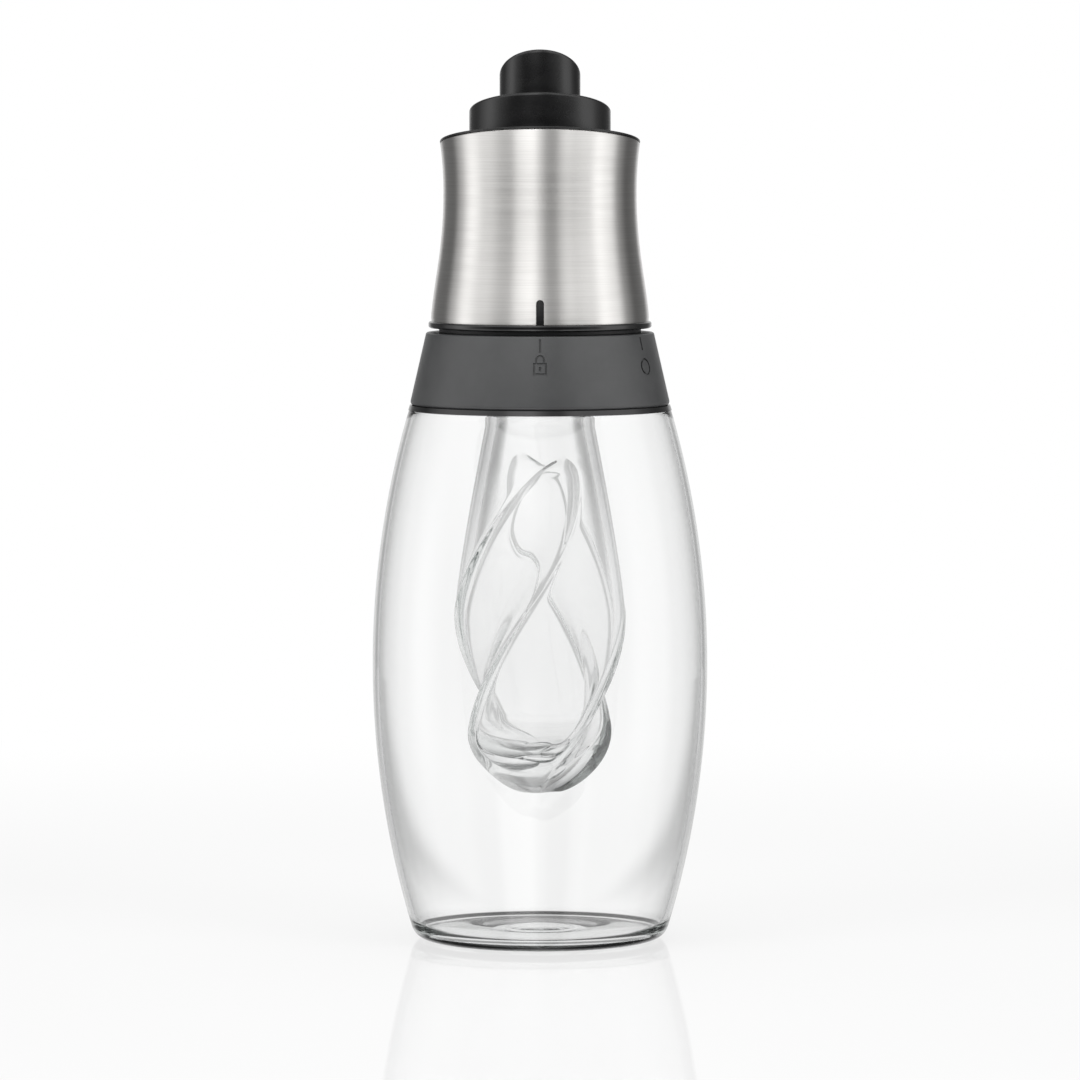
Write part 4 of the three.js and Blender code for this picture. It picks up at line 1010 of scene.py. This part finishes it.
def sleeve():
    """The steel shell with its slanted top and the notch for the pointer."""
    outline = [(SLEEVE_R - SLEEVE_T, sleeve_low), (SLEEVE_R - SLEEVE_EDGE, sleeve_low)]
    outline += sleeve_lower(0.0)[1:]
    outline += sleeve_upper(0.0, sleeve_top - SLEEVE_EDGE)
    top_r = flare_radius(sleeve_top)
    outline += [(top_r - SLEEVE_EDGE, sleeve_top), (top_r - SLEEVE_T, sleeve_top)]
    outline += sleeve_upper(SLEEVE_T, sleeve_top - SLEEVE_EDGE)[::-1]
    outline += sleeve_lower(SLEEVE_T)[:0:-1]
    slant = (sleeve_waist_z, 0.0, sleeve_top, SLEEVE_SLOPE)
    obj = turned("sleeve", outline, sleeve_steel, slant, flared_from=0.0)
    notch = pointer_slip(POINTER_GAP, sleeve_low - CUT_MARGIN, lambda z: SLEEVE_WAIST_R - CUT_MARGIN,
                         lambda z: SLEEVE_R + CUT_MARGIN)
    return combine(obj, [notch], "DIFFERENCE")


def trim():
    """The polished ring under the steel, with the pointer standing on it."""
    corners = ring_section(TRIM_BORE_R, trim_low, trim_r, sleeve_low, EASE, TRIM_EDGE)
    obj = turned("trim", rounded(corners), gloss_plastic)
    pointer = pointer_slip(0.0, sleeve_low - TRIM_T / 2, lambda z: sleeve_radius(z) - SLEEVE_T,
                           sleeve_radius)
    return combine(obj, [pointer], "UNION")


# Cap and spout

def cap():
    """The slanted lid over the steel: a thin rim that carries its outline on, a plate and a skirt."""
    low = sleeve_top + SLANT_GAP
    inner_r = CAP_SKIRT_R - CAP_SKIRT_WALL
    skirt_low = sleeve_top - CAP_SKIRT_L
    plate_low = sleeve_top - CAP_PLATE_T
    corners = [(CAP_HOLE_R, plate_low, EASE), (inner_r, plate_low, EASE),
               (inner_r, skirt_low, EASE), (CAP_SKIRT_R, skirt_low, EASE), (CAP_SKIRT_R, low, 0.0),
               (flare_radius(low), low, EASE / 2), (flare_radius(cap_top), cap_top, CAP_EDGE),
               (CAP_HOLE_R, cap_top, EASE)]
    slant = (skirt_low, SLEEVE_SLOPE, cap_top, SLEEVE_SLOPE)
    return turned("cap", rounded(corners), spout_plastic, slant, flared_from=CAP_SKIRT_R + EASE)


def spout_base():
    """The lower step, between two slanted faces, with the stem that goes down through the cap."""
    low = cap_top + SLANT_GAP
    stem_shoulder = sleeve_top - STEM_SHOULDER_DROP
    stem_low = stem_shoulder - STEM_L
    socket_low = spout_base_top - TIP_SOCKET_L
    corners = [(STEM_BORE_R, stem_low, 0.0), (STEM_R, stem_low, EASE), (STEM_R, low, 0.0),
               (spout_base_r, low, SPOUT_BASE_EDGE / 2), (spout_base_r, spout_base_top, SPOUT_BASE_EDGE),
               (TIP_SOCKET_R, spout_base_top, EASE), (TIP_SOCKET_R, socket_low, 0.0),
               (TUBE_BORE_R, socket_low, 0.0), (TUBE_BORE_R, stem_shoulder, 0.0),
               (STEM_BORE_R, stem_shoulder, 0.0)]
    slant = (low, SLEEVE_SLOPE, spout_base_top, SPOUT_BASE_SLOPE)
    return turned("spout_disc", rounded(corners), spout_plastic, slant)


def spout_tip():
    """The upper step with its steep top and the outlet through it."""
    low = spout_base_top + SLANT_GAP
    stem_low = spout_base_top - TIP_STEM_L
    corners = [(TIP_BORE_R, stem_low, 0.0), (TIP_STEM_R, stem_low, EASE), (TIP_STEM_R, low, 0.0),
               (spout_tip_r, low, EASE), (spout_tip_r, spout_tip_top, SPOUT_TIP_EDGE),
               (OUTLET_R, spout_tip_top, OUTLET_EDGE), (OUTLET_R, spout_base_top + OUTLET_NARROWING_H, 0.0),
               (TIP_BORE_R, spout_base_top, 0.0)]
    slant = (low, SPOUT_BASE_SLOPE, spout_tip_top, SPOUT_TIP_SLOPE)
    return turned("spout_knob", rounded(corners), spout_plastic, slant)


# Put together

place(bottle(), "bottle", "glass", "outer_bottle")
place(vessel(), "vessel", "glass", "inner_vessel")
place(collar(), "head", "collar_plastic", "collar_shell")
# The dark lip under the collar is painted shade, a dark piece put in for the band of shade under the
# collar's foot
place(painted_shade_lip(), "head", "gloss_plastic")
place(plug(), "head", "inner_plastic", "neck_plug")
place(plain_ring("neck_rim_gasket", "rim_gasket", neck_r - NECK_WALL - SEAL_BORE_GAP, EASE),
      "head", "silicone", "rim_gasket")
for seal_node in ("lower_neck_seal", "upper_neck_seal"):
    place(plain_ring(seal_node + "_lip", seal_node, PLUG_R - GROOVE_DEPTH + SEAL_BORE_GAP, SEAL_EDGE),
          "head", "silicone", seal_node)
place(vessel_seal(), "head", "silicone", "vessel_seal")
place(plain_ring("slide_washer", "thrust_washer", COLLAR_WELL_R, EASE, inner_plastic, SEGMENTS),
      "head", "inner_plastic", "thrust_washer")
place(sleeve(), "selector", "brushed_steel", "steel_sleeve")
place(trim(), "selector", "gloss_plastic", "trim_ring")
place(cap(), "selector", "spout_plastic", "top_cap")
place(spout_base(), "selector", "spout_plastic", "spout_base")
place(spout_tip(), "selector", "spout_plastic", "spout_tip")

INNER_NODES = (
    (soft_silicone, "port_gasket", "spout_seal"),
    (acetal, "port_plate", "rotor_disc"),
    (inner_plastic, "selector_core", "breather_tube"),
    (screw_steel, "pivot_screw", "pivot_washer", "valve_spring",
     "cap_screw_1", "cap_screw_2", "cap_screw_3"),
)
for inner_material, *inner_nodes in INNER_NODES:
    for inner_node in inner_nodes:
        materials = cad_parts[inner_node].data.materials
        materials.clear()
        materials.append(inner_material)


# Stage

def fade(tree, value, start, end, low, high):
    """A smooth change from low to high between two values."""
    return ranged(tree, value, start, end, low, high, "SMOOTHSTEP")


def shader_mix(tree, factor, first, second):
    return add(tree, "ShaderNodeMixShader", {0: factor, 1: first, 2: second}).outputs["Shader"]


def background(tree, colour, strength=1.0):
    return add(tree, "ShaderNodeBackground", {"Color": colour, "Strength": strength}).outputs["Background"]


def backdrop(tree, spot):
    """How bright glass shows the white behind, by the angle of a spot from straight behind."""
    parts = add(tree, "ShaderNodeSeparateXYZ", {"Vector": spot}).outputs
    turn = maths(tree, "ABSOLUTE", maths(tree, "ARCTAN2", parts["X"], parts["Y"]))
    share = ranged(tree, turn, 0.0, math.pi)
    return ramp(tree, share, [(degrees / 180, level) for degrees, level in BACKDROP])


def floor():
    """A pale floor that shows white, keeps a soft shadow and faintly mirrors what stands on it; seen through
    glass further out, it carries the backdrop's dark gaps as painted shade.
    """
    material, tree = bare_material("floor")
    spot = add(tree, "ShaderNodeTexCoord").outputs["Object"]
    distance = length(tree, spot)
    path = add(tree, "ShaderNodeLightPath").outputs
    direct, through = path["Is Camera Ray"], path["Is Transmission Ray"]
    glow = fade(tree, distance, FLOOR_SHEEN_R, FLOOR_WHITE_R, FLOOR_GLOW, 1.0)
    clear = fade(tree, distance, FLOOR_UNDER_R, FLOOR_CLEAR_R, FLOOR_UNDER_GLOW, 1.0)
    share = maths(tree, "MAXIMUM", maths(tree, "MULTIPLY", direct, glow),
                  maths(tree, "MULTIPLY", through, clear))
    # painted shade: further out, the floor as seen through glass takes the backdrop's dark gaps in its
    # colour
    far = fade(tree, distance, FLOOR_CLEAR_R, FLOOR_SHEEN_R, 0.0, 1.0)
    painted_backdrop = mix(tree, maths(tree, "MULTIPLY", through, far), WHITE, backdrop(tree, spot))
    tone = mix(tree, maths(tree, "MAXIMUM", direct, through), FLOOR_LIT_TONE, FLOOR_SEEN_TONE)
    tone = mix(tree, 1.0, tone, painted_backdrop, "MULTIPLY")
    matt = add(tree, "ShaderNodeBsdfDiffuse", {"Color": tone}).outputs["BSDF"]
    white = add(tree, "ShaderNodeEmission", {"Color": painted_backdrop, "Strength": 1.0}).outputs["Emission"]
    mirror = add(tree, "ShaderNodeBsdfGlossy", {"Roughness": FLOOR_ROUGHNESS}).outputs["BSDF"]
    sheen = fade(tree, distance, FLOOR_SHEEN_R, FLOOR_WHITE_R, FLOOR_SHEEN, 0.0)
    whole = shader_mix(tree, sheen, shader_mix(tree, share, matt, white), mirror)
    add(tree, "ShaderNodeOutputMaterial", {"Surface": whole})
    corners = [(x * FLOOR_HALF, y * FLOOR_HALF, -FLOOR_DROP) for x, y in SQUARE]
    obj = mesh_object("floor", corners, [(0, 1, 2, 3)], material)
    obj.visible_glossy = False


# Light in reflections, by degrees round from the front towards +X: level with the object, and above it
LOW_BOXES = [
    (-180, 1.0), (-164, 0.8), (-150, 0.2), (-122, 0.2), (-108, 0.8), (-90, 1.9), (-66, 0.55), (-48, 0.08),
    (0, 0.03), (34, 0.09), (58, 0.55), (74, 1.8), (92, 1.5), (108, 0.4), (124, 0.15), (150, 0.2), (164, 0.8),
    (180, 1.0),
]
HIGH_BOXES = [
    (-180, 1.0), (-164, 0.8), (-145, 0.15), (-122, 0.15), (-112, 0.5), (-100, 1.1), (-84, 1.6), (-60, 1.6),
    (-44, 1.1), (-36, 1.1), (-26, 2.3), (-8, 2.6), (1, 1.5), (9, 0.75), (19, 0.65), (27, 1.5), (34, 1.9),
    (42, 1.6), (74, 1.7), (90, 1.4), (108, 0.5), (122, 0.15), (145, 0.15), (164, 0.8), (180, 1.0),
]
BOXES_RISE = (0.05, 0.4)
BOXES_TOP = 3.0
# Light seen through glass: by degrees round from straight behind, and by how far up it comes from
BACKDROP = [(0, 1.0), (10, 1.0), (16, 0.57), (22, 0.57), (29, 0.95), (180, 1.0)]
OVERHEAD = [(0.0, 1.0), (0.12, 1.0), (0.3, 0.85), (0.5, 0.65), (0.75, 0.5), (1.0, 0.4)]
# Light on matt surfaces from all round, and soft boxes by name, place, aim, width, height and power
AMBIENT = (0.3, 0.3, 0.3, 1.0)
LAMPS = [
    ("overhead", (0.0, 0.1, 1.5), (0.0, 0.0, 0.0), 1.4, 1.4, 13.0),
    ("left_box", (-0.9, -0.7, 0.5), (0.0, 0.0, 0.1), 0.6, 0.9, 8.0),
    ("right_box", (0.9, -0.7, 0.5), (0.0, 0.0, 0.1), 0.6, 0.9, 8.0),
]


def studio():
    """White where the camera looks and through glass, soft boxes and dark gaps in reflections."""
    world = bpy.data.worlds.new("studio")
    bpy.context.scene.world = world
    world.use_nodes = True
    tree = world.node_tree
    tree.nodes.clear()
    direction = add(tree, "ShaderNodeTexCoord").outputs["Generated"]
    parts = add(tree, "ShaderNodeSeparateXYZ", {"Vector": direction}).outputs
    turn = maths(tree, "ARCTAN2", parts["X"], maths(tree, "MULTIPLY", parts["Y"], -1.0))
    share = ranged(tree, turn, -math.pi, math.pi)
    low, high = (ramp(tree, share, [((degrees + 180) / 360, level / BOXES_TOP) for degrees, level in boxes])
                 for boxes in (LOW_BOXES, HIGH_BOXES))
    height = fade(tree, maths(tree, "ABSOLUTE", parts["Z"]), *BOXES_RISE, 0.0, 1.0)
    path = add(tree, "ShaderNodeLightPath").outputs
    mirrored = background(tree, mix(tree, height, low, high), BOXES_TOP)
    through = mix(tree, 1.0, ramp(tree, parts["Z"], OVERHEAD), backdrop(tree, direction), "MULTIPLY")
    light = shader_mix(tree, path["Is Glossy Ray"], background(tree, AMBIENT), mirrored)
    light = shader_mix(tree, path["Is Transmission Ray"], light, background(tree, through))
    light = shader_mix(tree, path["Is Camera Ray"], light, background(tree, WHITE))
    add(tree, "ShaderNodeOutputWorld", {"Surface": light})


def aimed(name, data, at, aim):
    """A lamp or camera that looks from one place to another."""
    obj = bpy.data.objects.new(name, data)
    obj.location = at
    obj.rotation_mode = "QUATERNION"
    obj.rotation_quaternion = (Vector(aim) - Vector(at)).to_track_quat("-Z", "Y")
    bpy.context.scene.collection.objects.link(obj)
    return obj


def lamp(name, at, aim, width, height, power):
    """A soft box that lights surfaces; what mirrors it is in the world."""
    light = bpy.data.lights.new(name, "AREA")
    light.shape = "RECTANGLE"
    light.size, light.size_y = width, height
    light.energy = power
    obj = aimed(name, light, at, aim)
    obj.visible_glossy = False
    obj.visible_transmission = False
    obj.visible_camera = False


def camera():
    data = bpy.data.cameras.new("camera")
    data.lens = CAMERA_LENS
    bpy.context.scene.camera = aimed("camera", data, CAMERA_AT, CAMERA_AIM)


floor()
studio()
for settings in LAMPS:
    lamp(*settings)
camera()

scene = bpy.context.scene
scene.view_settings.view_transform = "Standard"
scene.cycles.max_bounces = BOUNCES
scene.cycles.transmission_bounces = BOUNCES
scene.cycles.glossy_bounces = BOUNCES
